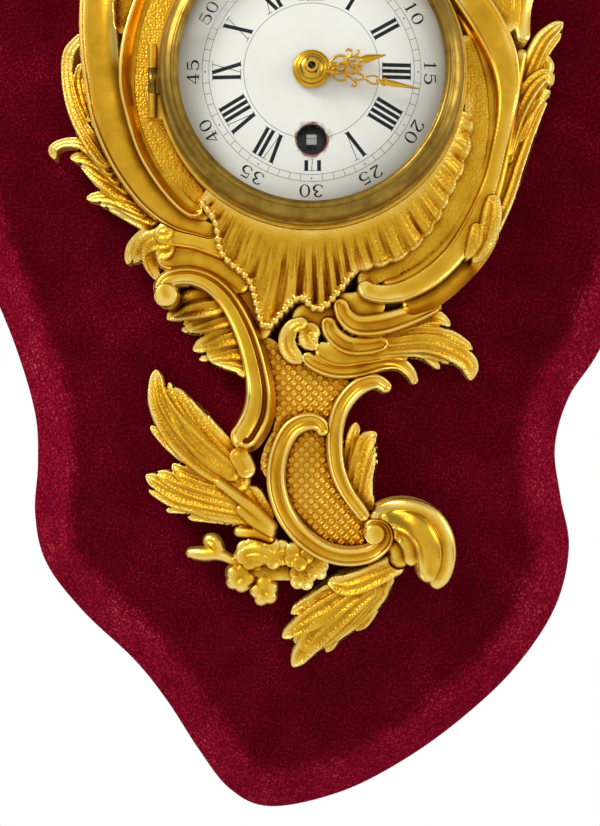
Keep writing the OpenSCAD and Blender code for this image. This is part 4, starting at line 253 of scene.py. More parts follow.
# Lines through (x, z): the board's outline and the sunk grounds; the apron's edge is (degrees, radius)
OUTLINE = [(-14,-249), (-28,-243), (-39,-229), (-50,-212), (-62,-197), (-80,-180), (-93,-163), (-97,-146),
    (-96,-128), (-97,-110), (-104,-86), (-116,-56), (-126,-25), (-129,10), (-125,45), (-114,78), (-104,105),
    (-101,130), (-101,155), (-94,180), (-78,203), (-54,224), (-24,240), (6,246), (36,239), (62,222),
    (84,200), (98,174), (106,146), (112,116), (120,84), (126,48), (127,10), (122,-26), (113,-60), (102,-87),
    (91,-104), (86,-122), (88,-140), (91,-158), (86,-179), (72,-200), (53,-218), (32,-233), (10,-244)]
APRON_EDGE = [(-133,55), (-124,57), (-117,65), (-107,70), (-101,83), (-97,77), (-93,72), (-88,76), (-82,70),
    (-76,65), (-63,66), (-52,64), (-40,60), (-27,57.5), (-13,54)]
TAIL_GROUND = [(-16,-84), (-6,-90), (4,-95), (13,-98), (9,-110), (7,-122), (10,-134), (18,-145), (19,-152),
    (12,-158), (1,-154.5), (-8,-145.5), (-12,-136), (-17,-129), (-16,-122), (-12,-112), (-15,-96)]
CREST_GROUND = [(-28,76), (0,74), (32,76), (46,98), (44,120), (26,130), (6,122), (-14,118), (-32,114),
    (-40,100)]


def even(*half):
    """A cross-section that is the same on both sides, from its right half."""
    return [*half, *((-v, h) for v, h in half[::-1] if v)]


# Cross-sections over a stroke: the metal's polish, then points from right edge to left, in half widths
PROFILES = {
    "cove": (.8, [(-1, -.5), (-.93, -.1), (-.86, 0), (-.78, -.02), (-.7, -.16), (-.4, -.26), (0, -.28),
                  (.4, -.22), (.75, -.05), (1, .14)]),
    "ridge": (.85, [(-1, -.2), (-.9, .02), (-.76, .06), (-.62, -.02), (-.45, -.45), (-.1, -.78), (.3, -.92),
                    (.7, -.95), (1, -.98)]),
    "band": (.75, even((-1, -.4), (-.93, -.04), (-.84, .02), (-.74, 0), (-.68, -.1), (-.3, -.12))),
    "moulding": (.8, [(-1, -.4), (-.9, 0), (-.76, .02), (-.68, -.12), (-.3, -.16), (0, -.1), (.1, -.04),
                      (.22, -.5), (.34, -.5), (.42, -.16), (.56, -.08), (.7, -.2), (.82, -.6), (1, -.95)]),
    "scroll": (.8, [(-1, -.5), (-.9, -.04), (-.74, .04), (-.6, -.02), (-.5, -.34), (-.2, -.44), (.1, -.36),
                    (.36, -.08), (.56, .05), (.74, .04), (.9, -.08), (1, -.5)]),
    "bead": (.85, even((-1, -.8), (-.85, -.4), (-.6, -.16), (-.3, -.04), (0, 0))),
    "roll": (.85, [(-1, -.6), (-.88, -.2), (-.74, -.08), (-.64, -.26), (-.45, -.08), (0, 0), (.45, -.08),
                   (.72, -.2), (.9, -.4), (1, -.7)]),
    "stem": (.4, even((-1, -.9), (-.8, -.42), (-.5, -.13), (0, 0))),
    "leaf": (.2, [(-1, -.26), (-.9, -.06), (-.72, 0), (-.5, -.12), (-.3, -.24), (-.1, -.1), (.06, 0),
                  (.2, -.12), (.42, -.2), (.64, -.06), (.84, .02), (.93, -.02), (1, -.22)]),
    "lamina": (.16, even((-1, -.2), (-.8, -.04))),
    "bud": (.4, even((-1, -.7), (-.8, -.3), (-.5, -.06), (-.2, 0), (0, -.1))),
    "plain": (.7, even((-1, -.12), (-.8, -.02))),
    "ground": (0.0, even((-1, -.1), (-.8, -.02))),
}
SOFT = {"leaf": 1.3, "lamina": 1.2, "bud": .4}     # how far these run into each other, mm
VEIN_PITCH, VEIN_DEPTH = 1.9, .34                # fine grooves along a leaf's body, mm


def spline(a, b, c, d, t):
    """The smooth span from b to c, with a before it and d after it."""
    return .5 * (2 * b + (c - a) * t + (2 * a - 5 * b + 4 * c - d) * t * t
                 + (3 * b - a - 3 * c + d) * t ** 3)


def curve(knots, step):
    """A smooth line through the knots, with points about a step apart; every column is eased alike."""
    k = np.array(knots, float)
    parts = []
    for i in range(len(k) - 1):
        a, b, c, d = k[max(i - 1, 0)], k[i], k[i + 1], k[min(i + 2, len(k) - 1)]
        n = max(2, int(np.hypot(*(c - b)[:2]) / step))
        parts.append(spline(a, b, c, d, np.arange(n)[:, None] / n))
    return np.vstack(parts + [k[-1:]])


def loop(knots, steps):
    """The closed smooth line through the knots, as the CAD draws it, with so many points a span."""
    k = np.array(knots, float)
    t = np.arange(steps)[:, None] / steps
    n = len(k)
    return np.vstack([spline(k[i - 1], k[i], k[(i + 1) % n], k[(i + 2) % n], t) for i in range(n)])


PROFILE_STEP = .02
TABLES = {name: (polish, curve(points, PROFILE_STEP)) for name, (polish, points) in PROFILES.items()}


def ease(x):
    x = np.clip(x, 0, 1)
    return x * x * (3 - 2 * x)


class Relief:
    """Height over the velvet on a grid of points: f is the distance inside the outline, mm."""

    def __init__(self, low, high, pitch=PITCH, origin=(GRID_X, GRID_Z)):
        self.pitch = pitch
        self.i = np.floor((np.array(low) - origin) / pitch).astype(int)
        n = np.ceil((np.array(high) - origin) / pitch).astype(int) - self.i + 1
        self.x = origin[0] + (self.i[0] + np.arange(n[0])) * pitch
        self.z = origin[1] + (self.i[1] + np.arange(n[1])) * pitch
        self.X, self.Z = np.meshgrid(self.x, self.z)
        self.f, self.top = np.full(self.X.shape, OUTSIDE), np.full(self.X.shape, OUTSIDE)
        self.base = np.full(self.X.shape, FAR)
        self.edge, self.edge_base, self.polish = (np.zeros(self.X.shape) for _ in range(3))

    def window(self, low, high):
        """The rows and columns that cover a box."""
        start, count = [self.x[0], self.z[0]], [len(self.x), len(self.z)]
        lo = np.clip(np.floor((low - start) / self.pitch).astype(int), 0, count)
        hi = np.clip(np.ceil((high - start) / self.pitch).astype(int) + 1, 0, count)
        return slice(lo[1], hi[1]), slice(lo[0], hi[0])

    def between(self, p, q, margin, start):
        """The rows or columns from p to q with a margin, counted from a start."""
        ends = min(p, q) - margin, max(p, q) + margin + self.pitch
        return slice(*(max(int((e - start) / self.pitch), 0) for e in ends))

    def lay(self, win, f, height, base, polish, soft=CRISP):
        """Adds a shape: the highest one shows, and the two run together over a soft distance."""
        inside = f > 0
        take = inside & (height > self.top[win])
        fillet = soft / 4 * np.clip(1 - abs(height - self.top[win]) / soft, 0, 1) ** 2
        self.top[win] = np.where(inside, np.maximum(height, self.top[win]) + fillet, self.top[win])
        self.polish[win] = np.where(take, polish, self.polish[win])
        self.base[win] = np.where(inside, np.minimum(base, self.base[win]), self.base[win])
        nearer = f > self.f[win]
        self.edge[win] = np.where(nearer, height, self.edge[win])
        self.edge_base[win] = np.where(nearer, base, self.edge_base[win])
        bridge = soft / 4 * np.clip(1 - abs(f - self.f[win]) / soft, 0, 1) ** 2
        self.f[win] = np.maximum(f, self.f[win]) + np.where(f > -soft, bridge, 0)

    def stroke(self, kind, depth, knots, seat=SEAT):
        """Lays a stroke with its profile; a depth of 0 reaches down to the seat."""
        c = curve(knots, 2 * self.pitch)
        step = np.hypot(*np.diff(c[:, :2], axis=0).T)
        s = np.concatenate([[0], np.cumsum(step)])
        cut = END_CUT * c[0, 3], s[-1] - END_CUT * c[-1, 3]
        if kind == "leaf":
            cut = cut[0], s[-1]
        if cut[1] - cut[0] > SHORTEST * s[-1]:
            keep = (s >= cut[0]) & (s <= cut[1])
            c, s = c[keep], s[keep]
        half = c[:, 3] / 2
        if kind == "leaf":
            half = half * np.minimum(1, ((s[-1] - s + TIP_BLUNT) / (TIP_LONG * half)) ** TIP_POWER)
        margin = half.max() + 3 * self.pitch
        win = self.window(c[:, :2].min(0) - margin, c[:, :2].max(0) + margin)
        X, Z = self.X[win], self.Z[win]
        if not X.size:
            return
        f, v, high, wide = (np.full(X.shape, x) for x in (OUTSIDE, 1.0, 0.0, 1.0))
        x0, z0 = X[0, 0], Z[0, 0]
        for a, b, wa, wb in zip(c[:-1], c[1:], half[:-1], half[1:]):
            r = max(wa, wb) + 3 * self.pitch
            w = self.between(a[1], b[1], r, z0), self.between(a[0], b[0], r, x0)
            px, pz, dx, dz = X[w] - a[0], Z[w] - a[1], b[0] - a[0], b[1] - a[1]
            t = np.clip((px * dx + pz * dz) / (dx * dx + dz * dz), 0, 1)
            far = np.hypot(px - t * dx, pz - t * dz)
            half_here = wa + t * (wb - wa)
            better = half_here - far > f[w]
            side = np.where(dx * pz - dz * px >= 0, 1, -1)
            f[w] = np.where(better, half_here - far, f[w])
            v[w] = np.where(better, side * np.minimum(far / half_here, 1), v[w])
            high[w] = np.where(better, a[2] + t * (b[2] - a[2]), high[w])
            wide[w] = np.where(better, half_here, wide[w])
        polish, table = TABLES[kind]
        base = np.full(X.shape, seat) if depth == 0 else np.maximum(seat, high - depth)
        height = high + wide * np.interp(v, table[:, 0], table[:, 1])
        if kind == "lamina":
            height = height - VEIN_DEPTH * abs(np.cos(math.pi * v * wide / VEIN_PITCH)) ** 3
        height = np.maximum(height, base + THINNEST)
        self.lay(win, f, height, base, polish, SOFT.get(kind, CRISP))

    def strokes(self, rows):
        for kind, depth, knots in rows:
            if kind == "eye":
                eye(self, *knots[1])
            else:
                self.stroke(kind, depth, knots)
        return self

    def seen_by(self, other):
        """This relief's distance inside, on the other's points."""
        out = np.full(other.X.shape, OUTSIDE)
        off = self.i - other.i
        j0, i0 = max(off[1], 0), max(off[0], 0)
        j1 = min(off[1] + len(self.z), len(other.z))
        i1 = min(off[0] + len(self.x), len(other.x))
        if j1 > j0 and i1 > i0:
            out[j0:j1, i0:i1] = self.f[j0 - off[1]:j1 - off[1], i0 - off[0]:i1 - off[0]]
        return out

    def finish(self, cut):
        """Keeps what lies inside, less the cut; heights run on a little past the outline for its edge."""
        inside = self.f > 0
        self.height = np.where(inside, self.top, self.edge)
        self.low = np.where(inside, self.base, self.edge_base)
        h = np.pad(self.height, 1, mode="edge")
        soft = (h[1:-1, 1:-1] * 4 + h[:-2, 1:-1] + h[2:, 1:-1] + h[1:-1, :-2] + h[1:-1, 2:]) / 8
        self.height = np.where(self.f > self.pitch, soft, self.height)
        self.kept = np.minimum(self.f, cut)
        return self


def span(rows):
    """Corners of the box that the strokes fill."""
    p = np.array([q for _, _, knots in rows for q in knots], float)
    return (p[:, :2] - p[:, 3:] / 2 - 2).min(0), (p[:, :2] + p[:, 3:] / 2 + 2).max(0)


def mesh_object(name, points, faces, attributes=(), smooth=True, crisp=()):
    """An object of quads or polygons, its points in metres in the row frame."""
    mesh = bpy.data.meshes.new(name)
    if isinstance(faces, np.ndarray):
        mesh.vertices.add(len(points))
        mesh.vertices.foreach_set("co", np.asarray(points, np.float32).ravel())
        mesh.loops.add(faces.size)
        mesh.loops.foreach_set("vertex_index", faces.astype(np.int32).ravel())
        mesh.polygons.add(len(faces))
        mesh.polygons.foreach_set("loop_start", np.arange(0, faces.size, faces.shape[1], dtype=np.int32))
        mesh.update(calc_edges=True)
    else:
        mesh.from_pydata([tuple(p) for p in points], [], [list(f) for f in faces])
    mesh.validate()
    mesh.polygons.foreach_set("use_smooth", np.full(len(mesh.polygons), smooth))
    for label, values in attributes:
        layer = mesh.attributes.new(label, "FLOAT", "POINT")
        layer.data.foreach_set("value", np.asarray(values, np.float32))
    if len(crisp):
        ends = np.empty(2 * len(mesh.edges), np.int32)
        mesh.edges.foreach_get("vertices", ends)
        pairs = np.sort(ends.reshape(-1, 2).astype(np.int64), axis=1)
        wanted = np.sort(np.asarray(crisp, np.int64), axis=1)
        sharp = np.isin(pairs[:, 0] * len(points) + pairs[:, 1], wanted[:, 0] * len(points) + wanted[:, 1])
        mesh.attributes.new("sharp_edge", "BOOLEAN", "EDGE").data.foreach_set("value", sharp)
    o = bpy.data.objects.new(name, mesh)
    bpy.context.scene.collection.objects.link(o)
    return o


def on_board(x, z, h):
    return np.column_stack([x, -(FACE + h), z]) * MM


def solid_from(name, relief, place=on_board, fields=()):
    """A closed solid between a relief's front and rear heights, its rim drawn onto the outline."""
    f, p = relief.kept, relief.pitch
    inside = f > 0
    cell = inside[:-1, :-1] | inside[1:, :-1] | inside[:-1, 1:] | inside[1:, 1:]
    # points just outside move onto the outline
    gz, gx = np.gradient(f, p)
    size = np.maximum(gx * gx + gz * gz, .25)
    move = np.where(inside, 0, np.clip(-f, 0, 1.5 * p)) / size
    x, z = relief.X + move * gx, relief.Z + move * gz
    used = np.zeros(f.shape, bool)
    for dj, di in ((0, 0), (0, 1), (1, 0), (1, 1)):
        used[dj:f.shape[0] - 1 + dj, di:f.shape[1] - 1 + di] |= cell
    number = np.full(f.shape, -1)
    count = int(used.sum())
    number[used] = np.arange(count)
    high = relief.height[used]
    low = np.minimum(relief.low[used], high - THIN_EDGE)
    points = np.vstack([place(x[used], z[used], high), place(x[used], z[used], low)])
    a, b, c, d = number[:-1, :-1], number[:-1, 1:], number[1:, 1:], number[1:, :-1]
    quads = [np.column_stack([q[cell] for q in (a, b, c, d)]),
             np.column_stack([q[cell] for q in (a, d, c, b)]) + count]
    near = np.pad(cell, 1)
    rims = []
    for p0, p1, beyond in ((a, b, near[:-2, 1:-1]), (b, c, near[1:-1, 2:]), (c, d, near[2:, 1:-1]),
                           (d, a, near[1:-1, :-2])):
        rim = cell & ~beyond
        quads.append(np.column_stack([p1[rim], p0[rim], p0[rim] + count, p1[rim] + count]))
        rims.append(np.column_stack([p0[rim], p1[rim]]))
    rims = np.vstack(rims)
    values = [(label, np.concatenate([v[used], v[used]])) for label, v in fields]
    return mesh_object(name, points, np.vstack(quads), values, crisp=np.vstack([rims, rims + count]))


def wrapped(rows, columns):
    """Quads of a grid of points that closes on itself both ways."""
    k, i = np.meshgrid(np.arange(rows), np.arange(columns), indexing="ij")
    after, beside = (k + 1) % rows, (i + 1) % columns
    corners = k * columns + i, k * columns + beside, after * columns + beside, after * columns + i
    return np.stack(corners, -1).reshape(-1, 4)


def lathe(profile, turns=192):
    """A closed profile (radius, height over the velvet) turned about the dial's axis: points and quads."""
    p = np.array(profile, float)
    n = len(p)
    a = np.arange(turns) * 2 * math.pi / turns
    r, h = np.tile(p[:, 0], turns), np.tile(p[:, 1], turns)
    t = np.repeat(a, n)
    return on_board(r * np.cos(t), r * np.sin(t), h), wrapped(turns, n)


# The apron: its ends (degrees), the width of a fold, its height at the edge and what it gains at the bezel
APRON_FROM, APRON_TO, APRON_FOLD = -132.5, -13.5, 4.9
APRON_LOW, APRON_RISE, APRON_REACH = 20, 14, 34
BEAD_PITCH, BEAD_RADIUS, BEADS_TO = 2.5, 1.3, -77


def apron_rise(r):
    return APRON_LOW + APRON_RISE * (1 - np.clip((r - CASE_RADIUS) / APRON_REACH, 0, 1)) ** 2


def apron_relief():
    """A fluted shell that flares from the bezel: folds that grow outward, a ruffled edge, beads below."""
    edge = curve(APRON_EDGE, 1.0)
    relief = Relief((-62, -88), (66, -8))
    r, a = np.hypot(relief.X, relief.Z), np.degrees(np.arctan2(relief.Z, relief.X))
    # the fold that each place lies on, of uneven width; how high it stands, and how far out it ends
    rib = (a + 132) / APRON_FOLD + .55 * np.sin(np.radians(a * 4.7)) + .4 * np.sin(np.radians(a * 9.1 + 40))
    fold = abs(np.sin(math.pi * rib)) ** .75
    tall = .62 + .38 * np.sin(np.radians(a * 7.3 + 25)) * np.sin(np.radians(a * 2.9))
    reach = np.interp(a, edge[:, 0], edge[:, 1]) + .9 * fold - .6
    ends = np.minimum(a - APRON_FROM, APRON_TO - a) * r * math.pi / 180
    share = np.clip((r - CASE_RADIUS) / np.maximum(reach - CASE_RADIUS, 1), 0, 1)
    height = apron_rise(r) + 3.4 * tall * ease((share - .08) / .6) * (fold - .6)
    # fine flutes along the folds, and a raised lip on the right half of the edge
    turn = 2 * math.pi * rib
    fine = np.sin(turn * 2.6 + 1.5 * np.sin(r / 4)) + .7 * np.sin(turn * 4.3 + r / 5)
    height += .24 * ease((share - .05) / .3) * fine
    height += 1.1 * np.exp(-(reach - r - .6) ** 2) * ease((a + 78) / 8)
    relief.lay(ALL, np.minimum(reach - r, ends), height, np.full(r.shape, SEAT), .2)
    beads = np.arange(APRON_FROM + 1.5, BEADS_TO, .25)
    far = np.interp(beads, edge[:, 0], edge[:, 1]) - .7
    rim = np.column_stack([far * np.cos(np.radians(beads)), far * np.sin(np.radians(beads))])
    run = np.concatenate([[0], np.cumsum(np.hypot(*np.diff(rim, axis=0).T))])
    for place in np.arange(.5, run[-1], BEAD_PITCH):
        x, z = np.interp(place, run, rim[:, 0]), np.interp(place, run, rim[:, 1])
        ball(relief, x, z, apron_rise(math.hypot(x, z)) + .9, BEAD_RADIUS)
    return relief


def around(relief, x, z, r):
    """The part of a relief about a place, and how far its points lie from there."""
    win = relief.window(np.array([x - r - 1, z - r - 1]), np.array([x + r + 1, z + r + 1]))
    return win, relief.X[win] - x, relief.Z[win] - z


def ball(relief, x, z, h, r):
    win, dx, dz = around(relief, x, z, r)
    far = np.hypot(dx, dz)
    relief.lay(win, r - far, h + np.sqrt(np.maximum(r * r - far * far, 0)), np.full(far.shape, SEAT), .9)


def eye(relief, x, z, h, wide):
    """The flat disc at the heart of a scroll, a groove around it."""
    r = wide / 2
    win, dx, dz = around(relief, x, z, r)
    far = np.hypot(dx, dz)
    height = h - .8 * ease((far - r + .5) / .5) + .3 * (1 - far / r)
    relief.lay(win, r - far, height, np.full(far.shape, SEAT), .9)


DIAMOND_WIDE, DIAMOND_TALL = 3.6, 3.5


def lattice_relief(outline, height):
    """A sunk ground inside an outline, covered with diamonds that have a dimple each."""
    line = loop(outline, 3)
    relief = Relief(line.min(0) - 2, line.max(0) + 2)
    X, Z = relief.X, relief.Z
    near, inside = np.full(X.shape, FAR), np.zeros(X.shape, bool)
    for a, b in zip(line, np.roll(line, -1, axis=0)):
        px, pz, (dx, dz) = X - a[0], Z - a[1], b - a
        t = np.clip((px * dx + pz * dz) / (dx * dx + dz * dz), 0, 1)
        near = np.minimum(near, np.hypot(px - t * dx, pz - t * dz))
        inside ^= ((a[1] > Z) != (b[1] > Z)) & (X < a[0] + dx * (Z - a[1]) / (dz if dz else 1e-9))
    # n runs from the middle of a diamond to its edge; the diamonds stand in two grids, half a step apart
    u, w = X / DIAMOND_WIDE + .12 * np.sin(Z / 9), Z / DIAMOND_TALL
    n = np.minimum(*(2 * (abs(u + s - np.round(u + s)) + abs(w + s - np.round(w + s))) for s in (0, .5)))
    stud = 1.15 * (1 - ease((n - .6) / .3)) - .5 * (1 - ease((n - .2) / .3))
    relief.lay(ALL, np.where(inside, near, -near), height - .4 + stud, np.full(X.shape, SEAT), .3)
    return relief


PETAL_OUT, PETAL_RADIUS, HEART_RADIUS = .52, .5, .17      # in radii of the flower


def flower(relief, x, z, h, r, petals, turn, cup=1.0):
    """A flower of round petals, cupped or closed as a bud, that overlap about its heart."""
    for k in range(petals):
        a = math.radians(turn) + 2 * math.pi * k / petals
        px, pz = x + PETAL_OUT * r * math.cos(a), z + PETAL_OUT * r * math.sin(a)
        pr = PETAL_RADIUS * r
        win, dx, dz = around(relief, px, pz, pr)
        share = np.hypot(dx, dz) / pr
        out = (dx * math.cos(a) + dz * math.sin(a)) / pr
        bowl = np.where(cup > 0, cup * (share ** 2 - .6), .9 * (1 - share ** 2))
        height = h + bowl - .7 * ease((share - .78) / .22) + .3 * cup * out + .25 * (k % 2)
        relief.lay(win, pr * (1 - share), height, np.full(share.shape, h - 5), .5)
    ball(relief, x, z, h - .5, HEART_RADIUS * r)


# Flowers: x, z, height, radius, petals, turn and cup
BLOOMS = [
    (-12.1, -157.6, 16, 5.4, 5, 40, 1.0), (-4.2, -158.4, 16.4, 5.2, 5, 65, 1.0),
    (1.8, -162.6, 15, 4.2, 5, 20, 1.0), (-2.8, -165.4, 14.6, 4.8, 5, 10, 1.0),
    (-20.3, -157.8, 15.4, 5.4, 6, 20, .5), (-24.3, -166.2, 13, 5.0, 5, 70, 0.0),
    (-15.9, -171.0, 12, 5.0, 5, 30, 0.0)]
RIBS, RIBS_FROM, RIBS_STEP, RIBS_Z = 9, 30, 15, 57      # the crest's shell: a fan of ribs
crest_ribs = []
for k in range(RIBS):
    turn = math.radians(RIBS_FROM + RIBS_STEP * k)
    reach = 22 + 5 * math.sin(turn) + 2 * math.cos(4 * turn)
    crest_ribs.append(("bead", 0, [(s * math.cos(turn), RIBS_Z + s * math.sin(turn), h, w)
                                   for s, h, w in ((7, 32, 2.4), (14, 29, 5), (reach, 23, 6.4))]))
# Castings: their strokes or relief, and the castings that they are cut back from
CASTINGS = {
    "shell_apron": (apron_relief(), []),
    "tail_panel": (lattice_relief(TAIL_GROUND, 12),
                   ["shell_apron", "left_tail_scroll", "right_acanthus", "inner_scroll", "right_tail_scroll",
                    "tail_volute", "left_leaf_spray", "flower_spray", "bottom_leaf"]),
    "crest_panel": (lattice_relief(CREST_GROUND, 11),
                    ["left_frame", "right_frame", "crest_shell", "crest_left_scroll", "crest_right_scroll",
                     "crest_plume"]),
    "left_frame": (LEFT_FRAME, ["shell_apron"]),
    "right_frame": (RIGHT_FRAME, ["shell_apron", "left_frame"]),
    "left_tail_scroll": (LEFT_TAIL, ["shell_apron", "left_frame"]),
    "right_acanthus": (ACANTHUS, ["shell_apron", "right_frame"]),
    "inner_scroll": (INNER_SCROLL, []),
    "right_tail_scroll": (RIGHT_TAIL, ["right_acanthus", "inner_scroll"]),
    "tail_volute": (VOLUTE, ["inner_scroll", "right_tail_scroll"]),
    "bottom_leaf": (BOTTOM_LEAF, ["inner_scroll", "tail_volute"]),
    "left_leaf_spray": (LEFT_LEAVES, ["left_tail_scroll", "inner_scroll"]),
    "flower_spray": (FLOWERS, ["inner_scroll", "left_leaf_spray", "bottom_leaf"]),
    "crest_shell": (crest_ribs, ["left_frame", "right_frame"]),
    "crest_left_scroll": (CREST_LEFT, ["left_frame", "crest_shell"]),
    "crest_right_scroll": (CREST_RIGHT, ["right_frame", "crest_shell"]),
    "crest_plume": (CREST_PLUME, ["crest_left_scroll", "crest_right_scroll"]),
}
reliefs = {name: made if isinstance(made, Relief) else Relief(*span(made)).strokes(made)
           for name, (made, _) in CASTINGS.items()}
for bloom in BLOOMS:
    flower(reliefs["flower_spray"], *bloom)
# Place of the hinge, and the room beside it that the left frame leaves
HINGE_X, HINGE_Z, HINGE_HALF, HINGE_WIDE, HINGE_TOP = -51.3, -3.0, 14.2, 2.4, 31.6
for name, relief in reliefs.items():
    cut = np.hypot(relief.X, relief.Z) - CASE_RADIUS - GAP
    for other in CASTINGS[name][1]:
        cut = np.minimum(cut, -reliefs[other].seen_by(relief) - GAP)
    relief.finish(cut)
    room = (abs(relief.X - HINGE_X) < HINGE_WIDE) & (abs(relief.Z - HINGE_Z) < HINGE_HALF)
    relief.height = np.where(room, np.minimum(relief.height, HINGE_TOP), relief.height)

# How far each place lies above or below what surrounds it: darker hollows, partly patina and partly painted
# shade, and lighter ridges, a painted highlight
CASE_FACE = 33               # height of the drum's front, mm
BLUR = 7                     # reach of the average, in points
LESS_SHADED_GROUNDS = {"tail_panel": 1.1, "crest_panel": .5}      # sunk grounds that get less painted shade than other hollows
whole = np.zeros((int(GRID_TALL / PITCH), int(GRID_WIDE / PITCH)))
for relief in reliefs.values():
    i, j = relief.i
    part = whole[j:j + len(relief.z), i:i + len(relief.x)]
    np.maximum(part, np.where(relief.kept > 0, relief.height, 0)[:part.shape[0], :part.shape[1]], out=part)
grid_x = GRID_X + np.arange(whole.shape[1]) * PITCH
grid_z = GRID_Z + np.arange(whole.shape[0]) * PITCH
whole[np.hypot(*np.meshgrid(grid_x, grid_z)) < CASE_RADIUS] = CASE_FACE
size = 2 * BLUR + 1
for axis in (0, 1, 0, 1):
    edges = [(BLUR + 1, BLUR) if k == axis else (0, 0) for k in (0, 1)]
    sums = np.moveaxis(np.cumsum(np.pad(whole, edges, mode="edge"), axis=axis), axis, 0)
    whole = np.moveaxis((sums[size:] - sums[:-size]) / size, 0, axis)
castings = []
for name, relief in reliefs.items():
    i, j = relief.i
    # colour by height against the surroundings: patina and painted shade in the hollows, painted highlight
    # on the ridges
    patina_shade_and_highlight = relief.height - whole[j:j + len(relief.z), i:i + len(relief.x)] + LESS_SHADED_GROUNDS.get(name, 0)
    casting = solid_from(name + "_relief", relief, fields=[("patina_shade_and_highlight", patina_shade_and_highlight), ("polish", relief.polish)])
    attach(casting, "clock_case")
    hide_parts(name)
    castings.append(casting)

# Dial: domed enamel, printed hours and minutes, chipped rim of the winding hole
DIAL_RADIUS, DIAL_BALL, DIAL_TOP, DIAL_THICK = 46.0, 266.5, 40.0, 1.2
DIAL_PITCH = .5              # spacing of its points, mm
HOLE_Z, HOLE_RADIUS, CENTRE_HOLE = -22.0, 5.0, 4.5
INK, HAIRLINE = .03, .13     # thickness of the print and width of its rings, mm
STRIP_STEP = 1.5             # longest straight stretch of a printed line, mm


def dial_height(x, z):
    return DIAL_TOP - DIAL_BALL + np.sqrt(DIAL_BALL ** 2 - x * x - z * z)


dial = Relief((-DIAL_RADIUS - 1,) * 2, (DIAL_RADIUS + 1,) * 2, DIAL_PITCH, (-100, -100))
r = np.hypot(dial.X, dial.Z)
hole = np.hypot(dial.X, dial.Z - HOLE_Z) - HOLE_RADIUS
dial.kept = np.minimum(np.minimum(DIAL_RADIUS - r, r - CENTRE_HOLE), hole)
dial.height = dial_height(dial.X, dial.Z)
dial.low = dial.height - DIAL_THICK
dial_piece = solid_from("enamel_dial", dial)


class Print:
    """Flat strokes on the domed dial, each a closed strip a little above the enamel."""

    def __init__(self):
        self.points, self.faces = [], []

    def strip(self, line):
        """A strip along points (x, z, width)."""
        p = np.array(line, float)
        steps = [max(1, math.ceil(np.hypot(*(b - a)[:2]) / STRIP_STEP)) for a, b in zip(p, p[1:])]
        p = np.vstack([a + (b - a) * t / n for a, b, n in zip(p, p[1:], steps) for t in range(n)] + [p[-1]])
        d = np.gradient(p[:, :2], axis=0)
        d /= np.maximum(np.hypot(*d.T), 1e-9)[:, None]
        side = np.column_stack([-d[:, 1], d[:, 0]]) * p[:, 2:] / 2
        n, start = len(p), len(self.points)
        for up in (INK, -INK):
            for q in (p[:, :2] + side, p[:, :2] - side):
                self.points += list(on_board(q[:, 0], q[:, 1], dial_height(q[:, 0], q[:, 1]) + up))
        left, right, low_left, low_right = (start + k * n for k in range(4))
        rings = left, low_left, low_right, right
        for i in range(n - 1):
            for a, b in zip(rings, rings[1:] + rings[:1]):
                self.faces.append((a + i, b + i, b + i + 1, a + i + 1))
        self.faces.append((left, right, low_right, low_left))
        self.faces.append(tuple(k + n - 1 for k in rings))

    def ring(self, radius, width, turns=240):
        a = np.linspace(0, 2 * math.pi, turns + 1)
        self.strip(np.column_stack([radius * np.sin(a), radius * np.cos(a), np.full(len(a), width)]))

    def glyph(self, clock, radius, line, shift=0.0):
        """A stroke drawn upright, its top outward, at a clock angle: points (across, up, width)."""
        a = math.radians(clock)
        up, right = np.array([math.sin(a), math.cos(a)]), np.array([math.cos(a), -math.sin(a)])
        self.strip([(*((radius + y) * up + (x + shift) * right), w) for x, y, w in line])

    def done(self, name):
        return mesh_object(name, self.points, self.faces, smooth=False)


TALL = 9.3           # height of the hour numerals
FINE, BOLD = .2, 1.22
SERIF_HALF, SERIF_THIN, SERIF_IN = .95, .17, .1
# Numerals: width, strokes (x, y, width), and the places of the serifs at the top and at the foot
ROMAN = {
    "I": (1.95, [[(0, 0, BOLD), (0, TALL, BOLD)]], [0], [0]),
    "V": (3.9, [[(-1.35, TALL, BOLD), (.1, .1, BOLD)], [(1.5, TALL, FINE), (.35, 0, FINE)]],
          [-1.35, 1.5], [.2]),
    "X": (3.9, [[(-1.3, TALL, BOLD), (1.3, 0, BOLD)], [(1.4, TALL, FINE), (-1.4, 0, FINE)]],
          [-1.35, 1.35], [-1.35, 1.35]),
}
